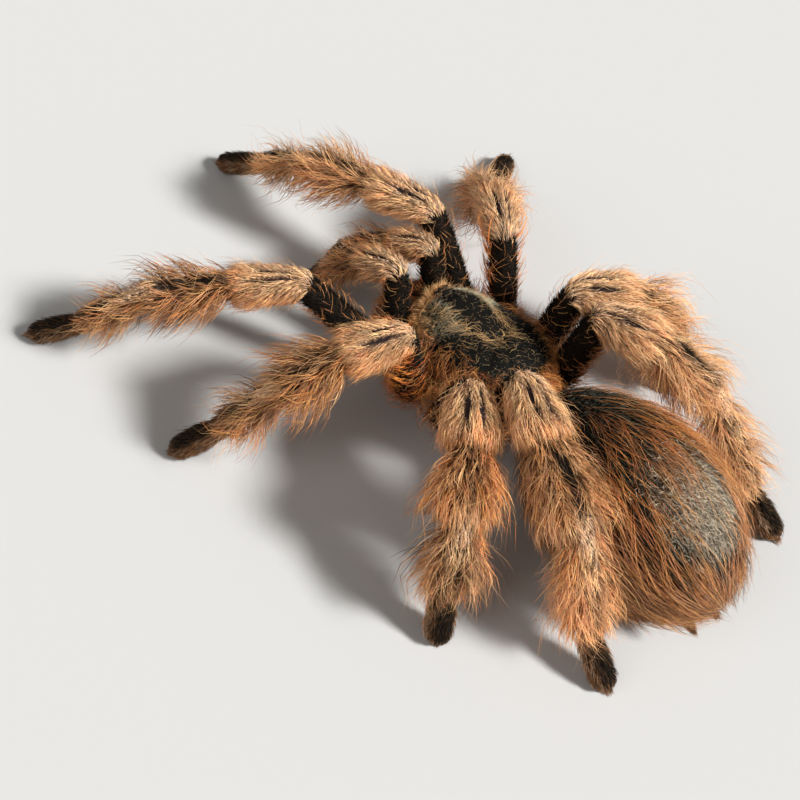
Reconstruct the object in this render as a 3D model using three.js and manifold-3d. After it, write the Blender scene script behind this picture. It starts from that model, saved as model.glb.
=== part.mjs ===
// A life-size tarantula, standing still: an adult female of a heavy, long-haired ground species.
// Millimetres, +Z up, head toward -Y, the spider's own left toward +X, feet on the plane z = 0.
//
// The body is built whole and parted with thin cuts where its named pieces meet: carapace, eye
// tubercle, chelicerae, fangs, the underside of the front body with its coxae, pedicel, abdomen,
// spinnerets, four pieces in each palp and five in each leg. Every outline is that of the coat.

import * as THREE from 'three';
import { mergeVertices } from 'three/addons/utils/BufferGeometryUtils.js';
import Module from 'manifold-3d';

const wasm = await Module();
wasm.setup();

// ---- driving dimensions ------------------------------------------------------------------------

const CARAPACE_LENGTH = 27;
const CARAPACE_WIDTH = 24.5;
const CARAPACE_RISE = 5.6;
const MARGIN_LEVEL = 0.6;
const BODY_HEIGHT = 14.2;
const NOSE_DOWN = 5;
const LEFT_SIDE_UP = 8;
const ABDOMEN_LENGTH = 49;
const ABDOMEN_WIDTH = 33;
const ABDOMEN_HEIGHT = 32.6;
const ABDOMEN_SWING = 11;
const ABDOMEN_LEVEL = 15.9;
const ABDOMEN_GAP = 1.2;
const PEDICEL_BACK = 14;
const PEDICEL_RADIUS = 2.4;
const PEDICEL_ENDS = [12.2, 17.2];
const CUT = 0.3;
const ORIGIN_SHIFT = new THREE.Vector3(-1.01, 2.77, 0);

// Lengths of femur, patella, tibia, metatarsus and tarsus, by leg pair from the front.
const LEG_LENGTHS = [
  [22, 13, 16, 14.5, 10.3],
  [19, 12, 14, 14, 9.8],
  [18, 11, 13, 15.5, 9.3],
  [20.5, 11.5, 16.5, 20.5, 10.3],
];
const PALP_LENGTHS = [15, 9.3, 11, 9.3];

// Radius of the coat round the middle of each of those pieces.
const LEG_RADII = [
  [3.5, 3.9, 4.7, 4.0, 2.6],
  [3.5, 4.2, 5.1, 4.3, 2.8],
  [3.8, 5.1, 6.0, 5.1, 3.0],
  [3.8, 4.8, 5.6, 4.8, 2.9],
];
const PALP_RADII = [2.9, 3.5, 3.9, 3.0];
const TROCHANTER_RADIUS = 2.9;
// The waist at a joint, as a part of the sum of the two radii that meet there.
const JOINT_WAIST = 0.42;
// The blunt tip of a last piece, as a part of its radius, and how far the floor presses it flat.
const TIP_FULLNESS = 0.62;
const TIP_PRESS = 0.35;
const STEEPEST_SLOPE = -0.97;

// Where each femur starts beside the carapace, forward, out to the side and up from its middle,
// and the way its coxa points, in degrees from straight ahead.
const LEG_ROOTS = [
  { forward: 11.5, out: 11.5, up: -4.5, heading: 48 },
  { forward: 4, out: 14.5, up: -5, heading: 76 },
  { forward: -4.5, out: 14.5, up: -5, heading: 104 },
  { forward: -12, out: 11.5, up: -4.5, heading: 134 },
];
const PALP_ROOT = { forward: 14.5, out: 6, up: -4, heading: 18 };

// The pose, in degrees: the heading of each piece from straight ahead toward the limb's own side,
// and its rise above level. The last piece has no rise of its own: it reaches down to the floor.
const LEG_POSES = {
  left: [
    { headings: [26, 50, 55, 41, 31], rises: [30, -6, -8, -45] },
    { headings: [72, 66, 64, 48, 44], rises: [73, -5, -37, -54] },
    { headings: [137, 134, 128, 132, 147], rises: [68, -8, -16, -67] },
    { headings: [153, 153, 158, 164, 178], rises: [79, -7, -20, -57] },
  ],
  right: [
    { headings: [-7, -17, -4, 1, -6], rises: [54, -5, -24, -44] },
    { headings: [24, 42, 60, 68, 68], rises: [60, -10, -53, -30] },
    { headings: [131, 135, 132, 138, 144], rises: [81, 1, -35, -84] },
    { headings: [162, 164, 154, 179, 174], rises: [83, 6, -35, -44] },
  ],
};
const PALP_POSES = {
  left: { headings: [-8, 0, -3, -3], rises: [73, -32, -55] },
  right: { headings: [-12, -4, -12, -22], rises: [70, -36, -44] },
};
const SIDE_SIGNS = { left: 1, right: -1 };

// Front body: how the dome, the tubercle and the underside are shaped.
const CARAPACE_UNDER = 1.3;
const CARAPACE_CORNER = 2.6;
const HEAD_NARROWING = 0.3;
const HEAD_SWELL = 0.12;
const FOVEA = { along: -0.25, depth: 0.9, length: 0.16, width: 0.3 };
const EDGE_FULLNESS = { reach: 1.25, power: 0.8 };
const TUBERCLE = { radii: [2.0, 1.6, 1.7], forward: 10.6, up: 5.35 };
const EYES = [
  { out: 0.55, forward: 11.35, up: 6.8, radius: 0.48 },
  { out: 1.5, forward: 11.5, up: 6.2, radius: 0.5 },
  { out: 1.6, forward: 10.2, up: 6.4, radius: 0.42 },
  { out: 1.05, forward: 10.0, up: 6.85, radius: 0.34 },
];
const JAW_OUT = 3.05;
const JAW_RINGS = [
  { forward: 11.0, up: -1.2, pitch: 4, width: 2.3, height: 2.7 },
  { forward: 14.0, up: -0.6, pitch: -6, width: 2.75, height: 3.4 },
  { forward: 17.2, up: -1.6, pitch: -30, width: 2.8, height: 3.6 },
  { forward: 19.3, up: -4.0, pitch: -58, width: 2.6, height: 3.0 },
  { forward: 19.9, up: -6.4, pitch: -78, width: 1.9, height: 2.0 },
];
// A fang is a curve folded back under its jaw: where it starts, its reach and how it thins.
const FANG = {
  forward: 19.6,
  up: -8.0,
  reach: 5.2,
  drop: 1.2,
  inward: 0.5,
  sweep: 95,
  pitches: [-35, 25],
  rootRadius: 1.1,
  tipRadius: 0.28,
  steps: 5,
};
const STERNUM = { radii: [8.6, 12.2, 5.2], back: 0.6, up: -3.6 };
const COXA_LENGTH = 8.5;
const COXA_RISE = 0.6;
const COXA_ROOT = { width: 2.6, height: 3.2 };
const COXA_MIDDLE = { width: 3.1, height: 3.4 };

// Rear body: the egg's fullness toward its back, and the long spinnerets under its tail end.
const EGG_FULLER_BACK = 0.09;
const EGG_ROUNDER_ENDS = 0.05;
const SPINNERET_RINGS = [
  { back: 20.5, up: -6.4, radius: 1.3 },
  { back: 22.4, up: -6.9, radius: 1.35 },
  { back: 24.2, up: -7.3, radius: 1.05 },
  { back: 25.3, up: -7.5, radius: 0.5 },
];
const SPINNERET_SPREAD = { out: 0.9, perBack: 0.08 };

// How finely the curved shapes are cut into facets.
const LIMB_SIDES = 10;
const COXA_SIDES = 8;
const CARAPACE_FACETS = [22, 12];
const TUBERCLE_FACETS = [12, 6];
const STERNUM_FACETS = [12, 8];
const ABDOMEN_FACETS = [22, 16];
const MERGE_DISTANCE = 1e-4;

const LEG_PIECES = ['femur', 'patella', 'tibia', 'metatarsus', 'tarsus'];
const PALP_PIECES = ['femur', 'patella', 'tibia', 'tarsus'];

// ---- finishes ----------------------------------------------------------------------------------

const FINISHES = {
  blackVelvet: { color: 0x23211d, roughness: 0.9, metalness: 0 },
  blackLens: { color: 0x08080a, roughness: 0.12, metalness: 0 },
  darkFang: { color: 0x1a1210, roughness: 0.25, metalness: 0 },
  tanHair: { color: 0xb98557, roughness: 0.9, metalness: 0 },
  creamHair: { color: 0xcdb08c, roughness: 0.9, metalness: 0 },
  brownHair: { color: 0x5a4029, roughness: 0.9, metalness: 0 },
  rustHair: { color: 0x8a5230, roughness: 0.9, metalness: 0 },
};
const PIECE_FINISHES = {
  femur: 'blackVelvet',
  patella: 'creamHair',
  tibia: 'tanHair',
  metatarsus: 'tanHair',
  tarsus: 'brownHair',
};

// ---- helpers -----------------------------------------------------------------------------------

const UP = new THREE.Vector3(0, 0, 1);
const radians = THREE.MathUtils.degToRad;
const bodyTurn = new THREE.Euler(radians(NOSE_DOWN), radians(-LEFT_SIDE_UP), 0);

/** A closed geometry as a solid that can be joined and cut. */
function toSolid(geometry) {
  const bare = geometry.clone();
  bare.deleteAttribute('normal');
  bare.deleteAttribute('uv');
  const merged = mergeVertices(bare, MERGE_DISTANCE);
  const mesh = new wasm.Mesh({
    numProp: 3,
    vertProperties: new Float32Array(merged.attributes.position.array),
    triVerts: new Uint32Array(merged.index.array),
  });
  mesh.merge();
  return new wasm.Manifold(mesh);
}

/** A solid as a geometry, keeping only its largest body where a cut has left crumbs. */
function toGeometry(solid) {
  const bodies = solid.decompose();
  bodies.sort((a, b) => b.volume() - a.volume());
  const mesh = bodies[0].getMesh();
  const geometry = new THREE.BufferGeometry();
  geometry.setAttribute('position', new THREE.BufferAttribute(mesh.vertProperties, 3));
  geometry.setIndex(new THREE.BufferAttribute(mesh.triVerts, 1));
  geometry.computeVertexNormals();
  return geometry;
}

/** Moves every vertex of a geometry by a function of its place. */
function reshape(geometry, place) {
  const points = geometry.attributes.position;
  const point = new THREE.Vector3();
  for (let i = 0; i < points.count; i += 1) {
    point.fromBufferAttribute(points, i);
    place(point);
    points.setXYZ(i, point.x, point.y, point.z);
  }
  return geometry;
}

/** The unit vector at a heading from straight ahead and a rise above level, on one side. */
function direction(heading, rise, sign) {
  const level = Math.cos(radians(rise));
  return new THREE.Vector3(
    sign * Math.sin(radians(heading)) * level,
    -Math.cos(radians(heading)) * level,
    Math.sin(radians(rise)),
  );
}

/** A place on the front body, given forward, out to one side and up from the carapace's middle. */
function onBody(forward, out, up) {
  const place = new THREE.Vector3(out, -forward, up).applyEuler(bodyTurn);
  place.z += BODY_HEIGHT;
  return place;
}

/** A solid through rings, each with a centre, a facing, and half sizes across and upward. */
function loft(rings, sides = LIMB_SIDES) {
  const geometry = new THREE.CylinderGeometry(1, 1, 1, sides, rings.length - 1);
  return reshape(geometry, (point) => {
    const ring = rings[Math.round((0.5 - point.y) * (rings.length - 1))];
    const across = new THREE.Vector3().crossVectors(UP, ring.facing).normalize();
    const upward = new THREE.Vector3().crossVectors(ring.facing, across).normalize();
    const { x, z } = point;
    point.copy(ring.centre);
    point.addScaledVector(across, x * ring.width);
    point.addScaledVector(upward, z * ring.height);
  });
}

// ---- limbs -------------------------------------------------------------------------------------

/** The rise at which a last piece sets its blunt tip on the floor, pressed a little flat. */
function restingRise(startHeight, length, radius) {
  let slope = 0;
  for (let round = 0; round < 10; round += 1) {
    const tipHeight = TIP_FULLNESS * radius * Math.sqrt(1 - slope ** 2) - TIP_PRESS;
    slope = Math.max(STEEPEST_SLOPE, (tipHeight - startHeight) / length);
  }
  return THREE.MathUtils.radToDeg(Math.asin(slope));
}

/** The joints of a limb from its root to its tip. */
function limbJoints(root, pose, lengths, radii, sign) {
  const joints = [onBody(root.forward, sign * root.out, root.up)];
  lengths.forEach((length, index) => {
    const start = joints[index];
    const rise = pose.rises[index] ?? restingRise(start.z, length, radii[index]);
    joints.push(start.clone().addScaledVector(direction(pose.headings[index], rise, sign), length));
  });
  return joints;
}

/** The plane that parts two pieces at each joint: it halves the bend. */
function jointFacings(joints, heading, sign) {
  const steps = joints.slice(1).map((joint, index) => joint.clone().sub(joints[index]).normalize());
  const before = direction(heading, 0, sign).applyEuler(bodyTurn);
  return joints.map((_, index) => {
    const into = index === 0 ? before : steps[index - 1];
    const out = steps[Math.min(index, steps.length - 1)];
    return into.clone().add(out).normalize();
  });
}

// Along a piece: how far, how full, and how much the ring leans toward each end's cut.
const PIECE_RINGS = [
  { along: 0, full: 0, start: 1, end: 0 },
  { along: 0.2, full: 0.72, start: 0.4, end: 0 },
  { along: 0.48, full: 1, start: 0, end: 0 },
  { along: 0.76, full: 0.92, start: 0, end: 0.3 },
  { along: 1, full: 0, start: 0, end: 1 },
];
// The blunt, padded last piece, as parts of its length and radius.
const TARSUS_RINGS = [
  { along: 0, full: 0, start: 1, end: 0 },
  { along: 0.22, full: 0.8, start: 0.3, end: 0 },
  { along: 0.6, full: 1, start: 0, end: 0 },
  { along: 0.88, full: 0.88, start: 0, end: 0 },
  { along: 1, full: TIP_FULLNESS, start: 0, end: 0 },
];

/** One piece of a limb between two joints, grown outward by a margin. */
function limbPiece(limb, index, grow) {
  const from = limb.joints[index];
  const to = limb.joints[index + 1];
  const facing = to.clone().sub(from).normalize();
  const last = index === limb.radii.length - 1;
  const jointRadius = (at) => {
    const near = limb.radii[Math.min(at, limb.radii.length - 1)];
    return at === 0 ? TROCHANTER_RADIUS : JOINT_WAIST * (limb.radii[at - 1] + near);
  };
  const rings = (last ? TARSUS_RINGS : PIECE_RINGS).map((ring) => {
    const lean = facing.clone().multiplyScalar(1 - ring.start - ring.end);
    lean.addScaledVector(limb.facings[index], ring.start);
    lean.addScaledVector(limb.facings[index + 1], ring.end).normalize();
    const centre = from.clone().lerp(to, ring.along);
    const inset = ring.start === 1 ? CUT / 2 : -CUT / 2;
    if (ring.start === 1 || ring.end === 1) centre.addScaledVector(lean, inset);
    const waist = jointRadius(ring.along < 0.5 ? index : index + 1);
    const size = last && ring.along > 0
      ? limb.radii[index] * ring.full
      : waist + (limb.radii[index] - waist) * ring.full;
    return { centre, facing: lean, width: size + grow, height: size + grow };
  });
  return toSolid(loft(rings));
}

function makeLimb(root, pose, lengths, radii, sign) {
  const joints = limbJoints(root, pose, lengths, radii, sign);
  return { joints, radii, facings: jointFacings(joints, root.heading, sign) };
}

// ---- front body --------------------------------------------------------------------------------

/** Half width of the carapace at a place along it, from -1 at the rear to 1 at the front. */
function carapaceHalfWidth(along) {
  const oval = Math.sqrt(Math.max(0, 1 - Math.abs(along) ** CARAPACE_CORNER));
  const headTaper = 1 - HEAD_NARROWING * THREE.MathUtils.smoothstep(along, -0.1, 0.85);
  return (CARAPACE_WIDTH / 2) * oval * headTaper;
}

/** The low dome over the front body, higher at the head, with a dip behind its middle. */
function carapace(grow) {
  const geometry = new THREE.SphereGeometry(1, ...CARAPACE_FACETS);
  const halfLength = CARAPACE_LENGTH / 2 + grow;
  reshape(geometry, (point) => {
    const along = -point.y;
    const ring = Math.sqrt(Math.max(1e-9, 1 - along ** 2));
    const side = point.x / ring;
    const rise = point.z / ring;
    const fromFovea = ((along - FOVEA.along) / FOVEA.length) ** 2 + (side / FOVEA.width) ** 2;
    const dip = FOVEA.depth * Math.exp(-fromFovea);
    const swell = 1 + HEAD_SWELL * THREE.MathUtils.smoothstep(along, 0, 0.6);
    const fade = Math.min(1, ring * EDGE_FULLNESS.reach) ** EDGE_FULLNESS.power;
    const top = (CARAPACE_RISE * swell * fade - dip) * Math.max(0, rise);
    const bottom = CARAPACE_UNDER * fade * Math.min(0, rise);
    const up = MARGIN_LEVEL + top + bottom + rise * grow;
    point.copy(onBody(along * halfLength, side * (carapaceHalfWidth(along) + grow), up));
  });
  return toSolid(geometry);
}

/** The eye tubercle near the front edge, with its eight eyes in two rows joined to it. */
function ocularTubercle(grow) {
  const mound = new THREE.SphereGeometry(1, ...TUBERCLE_FACETS);
  mound.scale(...TUBERCLE.radii.map((radius) => radius + grow));
  mound.translate(0, -TUBERCLE.forward, TUBERCLE.up);
  let solid = toSolid(mound);
  EYES.forEach((eye) => {
    Object.values(SIDE_SIGNS).forEach((sign) => {
      const lens = new THREE.OctahedronGeometry(eye.radius + grow, 1);
      lens.translate(sign * eye.out, -eye.forward, eye.up);
      solid = solid.add(toSolid(lens));
    });
  });
  return turnWithBody(solid);
}

/** Carries a solid made round the carapace's middle to where the body stands. */
function turnWithBody(solid) {
  const matrix = new THREE.Matrix4().makeRotationFromEuler(bodyTurn);
  matrix.setPosition(0, 0, BODY_HEIGHT);
  return solid.transform(matrix.elements);
}

/** One heavy jaw: out from under the front edge, then bowed down to the fang's root. */
function chelicera(sign, grow) {
  return toSolid(loft(JAW_RINGS.map((ring) => ({
    centre: onBody(ring.forward, sign * JAW_OUT, ring.up),
    facing: direction(0, ring.pitch, sign).applyEuler(bodyTurn),
    width: ring.width + grow,
    height: ring.height + grow,
  }))));
}

/** One fang, folded back in a curve under its jaw to a point. */
function fang(sign, grow) {
  const rings = [];
  for (let step = 0; step <= FANG.steps; step += 1) {
    const part = step / FANG.steps;
    const sweep = radians(FANG.sweep * part);
    const forward = FANG.forward - FANG.reach * Math.sin(sweep);
    const up = FANG.up - FANG.drop * Math.sin(1.5 * sweep);
    const pitch = THREE.MathUtils.lerp(...FANG.pitches, part);
    const radius = THREE.MathUtils.lerp(FANG.rootRadius, FANG.tipRadius, part) + grow;
    rings.push({
      centre: onBody(forward, sign * (JAW_OUT - FANG.inward * part), up),
      facing: direction(180, pitch, sign).applyEuler(bodyTurn),
      width: radius,
      height: radius,
    });
  }
  return toSolid(loft(rings));
}

/** The coxa that one limb grows from, reaching in under the carapace. */
function coxa(limb, heading, sign, grow) {
  const outward = direction(heading, 0, sign).applyEuler(bodyTurn);
  const end = limb.joints[0].clone().addScaledVector(limb.facings[0], -CUT / 2);
  const middle = limb.joints[0].clone().addScaledVector(outward, -COXA_LENGTH / 2);
  const start = limb.joints[0].clone().addScaledVector(outward, -COXA_LENGTH);
  start.z += COXA_RISE;
  const trochanter = { width: TROCHANTER_RADIUS, height: TROCHANTER_RADIUS };
  const rings = [
    { centre: start, facing: outward, ...COXA_ROOT },
    { centre: middle, facing: outward, ...COXA_MIDDLE },
    { centre: end, facing: limb.facings[0], ...trochanter },
  ].map((ring) => ({ ...ring, width: ring.width + grow, height: ring.height + grow }));
  return toSolid(loft(rings, COXA_SIDES));
}

/** The underside of the front body: sternum, lip and the coxae that the limbs grow from. */
function sternumAndCoxae(limbs, grow) {
  const core = new THREE.SphereGeometry(1, ...STERNUM_FACETS);
  core.scale(...STERNUM.radii);
  core.translate(0, STERNUM.back, STERNUM.up);
  let solid = turnWithBody(toSolid(core));
  Object.entries(SIDE_SIGNS).forEach(([side, sign]) => {
    [PALP_ROOT, ...LEG_ROOTS].forEach((root, index) => {
      solid = solid.add(coxa(limbs[side][index], root.heading, sign, grow));
    });
  });
  return solid;
}

/** The narrow stalk between the front body and the abdomen. */
function pedicel(grow) {
  const rings = PEDICEL_ENDS.map((back) => ({
    centre: onBody(-back, 0, 0.2),
    facing: direction(180, 0, 1).applyEuler(bodyTurn),
    width: PEDICEL_RADIUS + grow,
    height: PEDICEL_RADIUS + grow,
  }));
  return toSolid(loft(rings));
}

// ---- rear body ---------------------------------------------------------------------------------

const abdomenFront = onBody(-PEDICEL_BACK, 0, 0);
const abdomenBack = direction(180 - ABDOMEN_SWING, 0, 1);
const abdomenMiddle = new THREE.Vector3(abdomenFront.x, abdomenFront.y, ABDOMEN_LEVEL)
  .addScaledVector(abdomenBack, ABDOMEN_LENGTH / 2 + ABDOMEN_GAP);

/** Turns a point made round the abdomen's middle, with -Y toward the pedicel, into place. */
function placeOnAbdomen(point) {
  point.applyAxisAngle(UP, radians(-ABDOMEN_SWING));
  return point.add(abdomenMiddle);
}

/** The egg-shaped abdomen, fullest behind its middle. */
function abdomen(grow) {
  const geometry = new THREE.SphereGeometry(1, ...ABDOMEN_FACETS);
  geometry.rotateX(Math.PI / 2);
  reshape(geometry, (point) => {
    const fullness = 1 + EGG_FULLER_BACK * point.y - EGG_ROUNDER_ENDS * point.y ** 2;
    point.x *= (ABDOMEN_WIDTH / 2) * fullness + grow;
    point.z *= (ABDOMEN_HEIGHT / 2) * fullness + grow;
    point.y *= ABDOMEN_LENGTH / 2 + grow;
    placeOnAbdomen(point);
  });
  return toSolid(geometry);
}

/** One of the two long spinnerets at the abdomen's tail end. */
function spinneret(sign, grow) {
  return toSolid(loft(SPINNERET_RINGS.map(({ back, up, radius }) => {
    const out = sign * (SPINNERET_SPREAD.out + SPINNERET_SPREAD.perBack * back);
    return {
      centre: placeOnAbdomen(new THREE.Vector3(out, back, up)),
      facing: direction(180 - ABDOMEN_SWING, -10, 1),
      width: radius + grow,
      height: radius + grow,
    };
  })));
}

// ---- the whole spider --------------------------------------------------------------------------

const limbs = {};
Object.entries(SIDE_SIGNS).forEach(([side, sign]) => {
  limbs[side] = [makeLimb(PALP_ROOT, PALP_POSES[side], PALP_LENGTHS, PALP_RADII, sign)];
  LEG_ROOTS.forEach((root, index) => {
    const pose = LEG_POSES[side][index];
    limbs[side].push(makeLimb(root, pose, LEG_LENGTHS[index], LEG_RADII[index], sign));
  });
});

// Each entry: a name, a finish and a maker that can grow the shape. Where two coats press on each
// other, the later one gives way to the earlier.
const makers = [
  { name: 'carapace', finish: 'blackVelvet', make: carapace },
  { name: 'ocular_tubercle', finish: 'blackLens', make: ocularTubercle },
  { name: 'pedicel', finish: 'brownHair', make: pedicel },
];
Object.entries(SIDE_SIGNS).forEach(([side, sign]) => {
  makers.push({ name: `fang_${side}`, finish: 'darkFang', make: (grow) => fang(sign, grow) });
  makers.push({ name: `chelicera_${side}`, finish: 'brownHair', make: (grow) => chelicera(sign, grow) });
});
makers.push({
  name: 'sternum_and_coxae',
  finish: 'brownHair',
  make: (grow) => sternumAndCoxae(limbs, grow),
});
Object.keys(SIDE_SIGNS).forEach((side) => {
  limbs[side].forEach((limb, index) => {
    const pieces = index === 0 ? PALP_PIECES : LEG_PIECES;
    const limbName = index === 0 ? `palp_${side}` : `leg_${side}_${index}`;
    pieces.forEach((piece, order) => {
      makers.push({
        name: `${limbName}_${piece}`,
        finish: PIECE_FINISHES[piece],
        make: (grow) => limbPiece(limb, order, grow),
      });
    });
  });
});
Object.entries(SIDE_SIGNS).forEach(([side, sign]) => {
  makers.push({ name: `spinneret_${side}`, finish: 'brownHair', make: (grow) => spinneret(sign, grow) });
});
makers.push({ name: 'abdomen', finish: 'rustHair', make: abdomen });

/** True where the boxes round two solids meet. */
function boxesMeet(a, b) {
  const boxA = a.boundingBox();
  const boxB = b.boundingBox();
  return [0, 1, 2].every((axis) => boxA.min[axis] < boxB.max[axis] && boxB.min[axis] < boxA.max[axis]);
}

const FLOOR_DEPTH = 40;
const FLOOR_WIDTH = 400;
const belowFloor = new THREE.BoxGeometry(FLOOR_WIDTH, FLOOR_WIDTH, FLOOR_DEPTH);
belowFloor.translate(0, 0, -FLOOR_DEPTH / 2);
const floorCutter = toSolid(belowFloor);

const group = new THREE.Group();
group.name = 'tarantula';
const placed = [];
makers.forEach(({ name, finish, make }) => {
  const whole = make(0);
  let solid = whole.subtract(floorCutter);
  placed.forEach((grown) => {
    if (boxesMeet(solid, grown)) solid = solid.subtract(grown);
  });
  placed.push(make(CUT).add(whole));
  const mesh = new THREE.Mesh(toGeometry(solid), new THREE.MeshStandardMaterial(FINISHES[finish]));
  mesh.name = name;
  group.add(mesh);
});
group.position.copy(ORIGIN_SHIFT);

export default group;
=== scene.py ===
"""A life-size tarantula, standing still.

Every size below is in millimetres and degrees, in the frame's own axes: +Z up, head toward -Y, the
spider's left toward +X, floor at z = 0.
"""

import logging
import math
from collections.abc import Callable
from dataclasses import dataclass, field, replace
from enum import Enum

import bpy
import numpy as np
from mathutils import Matrix


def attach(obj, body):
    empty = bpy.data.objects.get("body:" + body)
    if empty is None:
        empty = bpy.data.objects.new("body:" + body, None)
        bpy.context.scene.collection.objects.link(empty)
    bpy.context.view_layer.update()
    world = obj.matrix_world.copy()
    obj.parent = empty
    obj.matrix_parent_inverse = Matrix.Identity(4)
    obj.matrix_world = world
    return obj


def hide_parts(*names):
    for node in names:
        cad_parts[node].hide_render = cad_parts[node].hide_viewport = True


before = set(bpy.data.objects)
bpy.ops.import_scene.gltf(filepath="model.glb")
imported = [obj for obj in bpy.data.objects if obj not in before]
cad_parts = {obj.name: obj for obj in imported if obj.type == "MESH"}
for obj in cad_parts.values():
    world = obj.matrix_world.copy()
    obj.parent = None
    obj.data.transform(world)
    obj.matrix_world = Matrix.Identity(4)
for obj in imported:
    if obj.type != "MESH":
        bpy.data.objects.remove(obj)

log = logging.getLogger("tarantula")
Array = np.ndarray
Keep = Callable[[Array, Array], Array]
Pair = tuple[float, float]
Triple = tuple[float, float, float]
Colour = Triple
Material = bpy.types.Material
Socket = bpy.types.NodeSocket

MM = 0.001
UP = np.array([0.0, 0.0, 1.0])
SEED = 4107
FULL_TURN = (-math.pi, math.pi)
# The columns of a mesh's markings; on some limbs and the abdomen, the pale and dark columns also carry painted
# light and painted shade.
PALE, DARK, RUST = range(3)
# One over the plastic number, and over its square: steps that spread points evenly over a square.
EVEN_STEPS = (0.7548776662, 0.5698402910)

# Heights above the floor: of a hair's path, and of any corner of a mesh.
FLOOR_CLEARANCE = 0.05
LOWEST = 0.02
# Hairs: how deep they root, how short they can be, how their lift and their edge's turn vary.
ROOT_DEPTH = 0.12
SHORTEST = 0.3
LIFT_CHANCE = 4.0
BLADE_TURN = 40.0
# The bake map: a hair's patch, a surface's tile with its gap, and the unwrap inside a tile.
BAKE_PATCH = 0.003
TILE_STEP = 0.25
BAKE_TILE = 0.24
UNWRAP_EDGE = 0.02
UNWRAP_SIZE = 0.95
# How much of a hair's shade is its own and how much its tuft's, and how deep skin is pitted, in metres.
CHANCE_OF_ITS_OWN = 0.35
CHANCE_OF_ITS_TUFT = 0.65
PIT_DEPTH = 0.0002


# ---- small helpers -----------------------------------------------------------------------------


def unit(vectors: Array) -> Array:
    """The same vectors at length one."""
    return vectors / np.maximum(np.linalg.norm(vectors, axis=-1, keepdims=True), 1e-9)


def ramp(low: float, high: float, x: Array) -> Array:
    """A smooth step: 0 below low, 1 above high, 3t^2 - 2t^3 between."""
    t = np.clip((x - low) / (high - low), 0.0, 1.0)
    return t * t * (3.0 - 2.0 * t)


def soften(values: Array, sigma: float) -> Array:
    """Evens out a row of values.

    Each value becomes the mean of its neighbours weighted by a bell curve, and the row is carried
    on past its ends by reflecting it through them, so that the ends stay where they are.

    Args:
        values: Rows along the first axis.
        sigma: The bell's half width, in rows.

    Returns:
        An array of the same shape.
    """
    reach = max(1, int(3 * sigma))
    bell = np.exp(-0.5 * (np.arange(-reach, reach + 1) / sigma) ** 2)
    bell /= bell.sum()
    flat = values.reshape(len(values), -1)
    padded = np.pad(flat, ((reach, reach), (0, 0)), mode="reflect", reflect_type="odd")
    columns = [np.convolve(column, bell, mode="valid") for column in padded.T]
    return np.stack(columns, axis=1).reshape(values.shape)


def heading_vector(heading: float, rise: float, sign: float) -> Array:
    """The unit vector at a heading from straight ahead and a rise above level, on one side."""
    h, r = math.radians(heading), math.radians(rise)
    return np.array([sign * math.sin(h) * math.cos(r), -math.cos(h) * math.cos(r), math.sin(r)])


def linked(name: str, data: bpy.types.ID) -> bpy.types.Object:
    """A new object at the origin that shows a mesh, a lamp or a camera."""
    thing = bpy.data.objects.new(name, data)
    bpy.context.scene.collection.objects.link(thing)
    return thing


def placed_by(right: Array, back: Array, place: Array) -> Matrix:
    """The matrix of a thing that looks away from back, with right to its right, at a place."""
    matrix = Matrix.Identity(4)
    for column, axis in enumerate((right, np.cross(back, right), back, place)):
        for row in range(3):
            matrix[row][column] = float(axis[row])
    return matrix


# ---- meshes ------------------------------------------------------------------------------------


class Slot(Enum):
    """The record's material slots."""

    BLACK_VELVET = "black_velvet"
    BLACK_LENS = "black_lens"
    DARK_FANG = "dark_fang"
    TAN_HAIR = "tan_hair"
    CREAM_HAIR = "cream_hair"
    BROWN_HAIR = "brown_hair"
    RUST_HAIR = "rust_hair"


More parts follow.
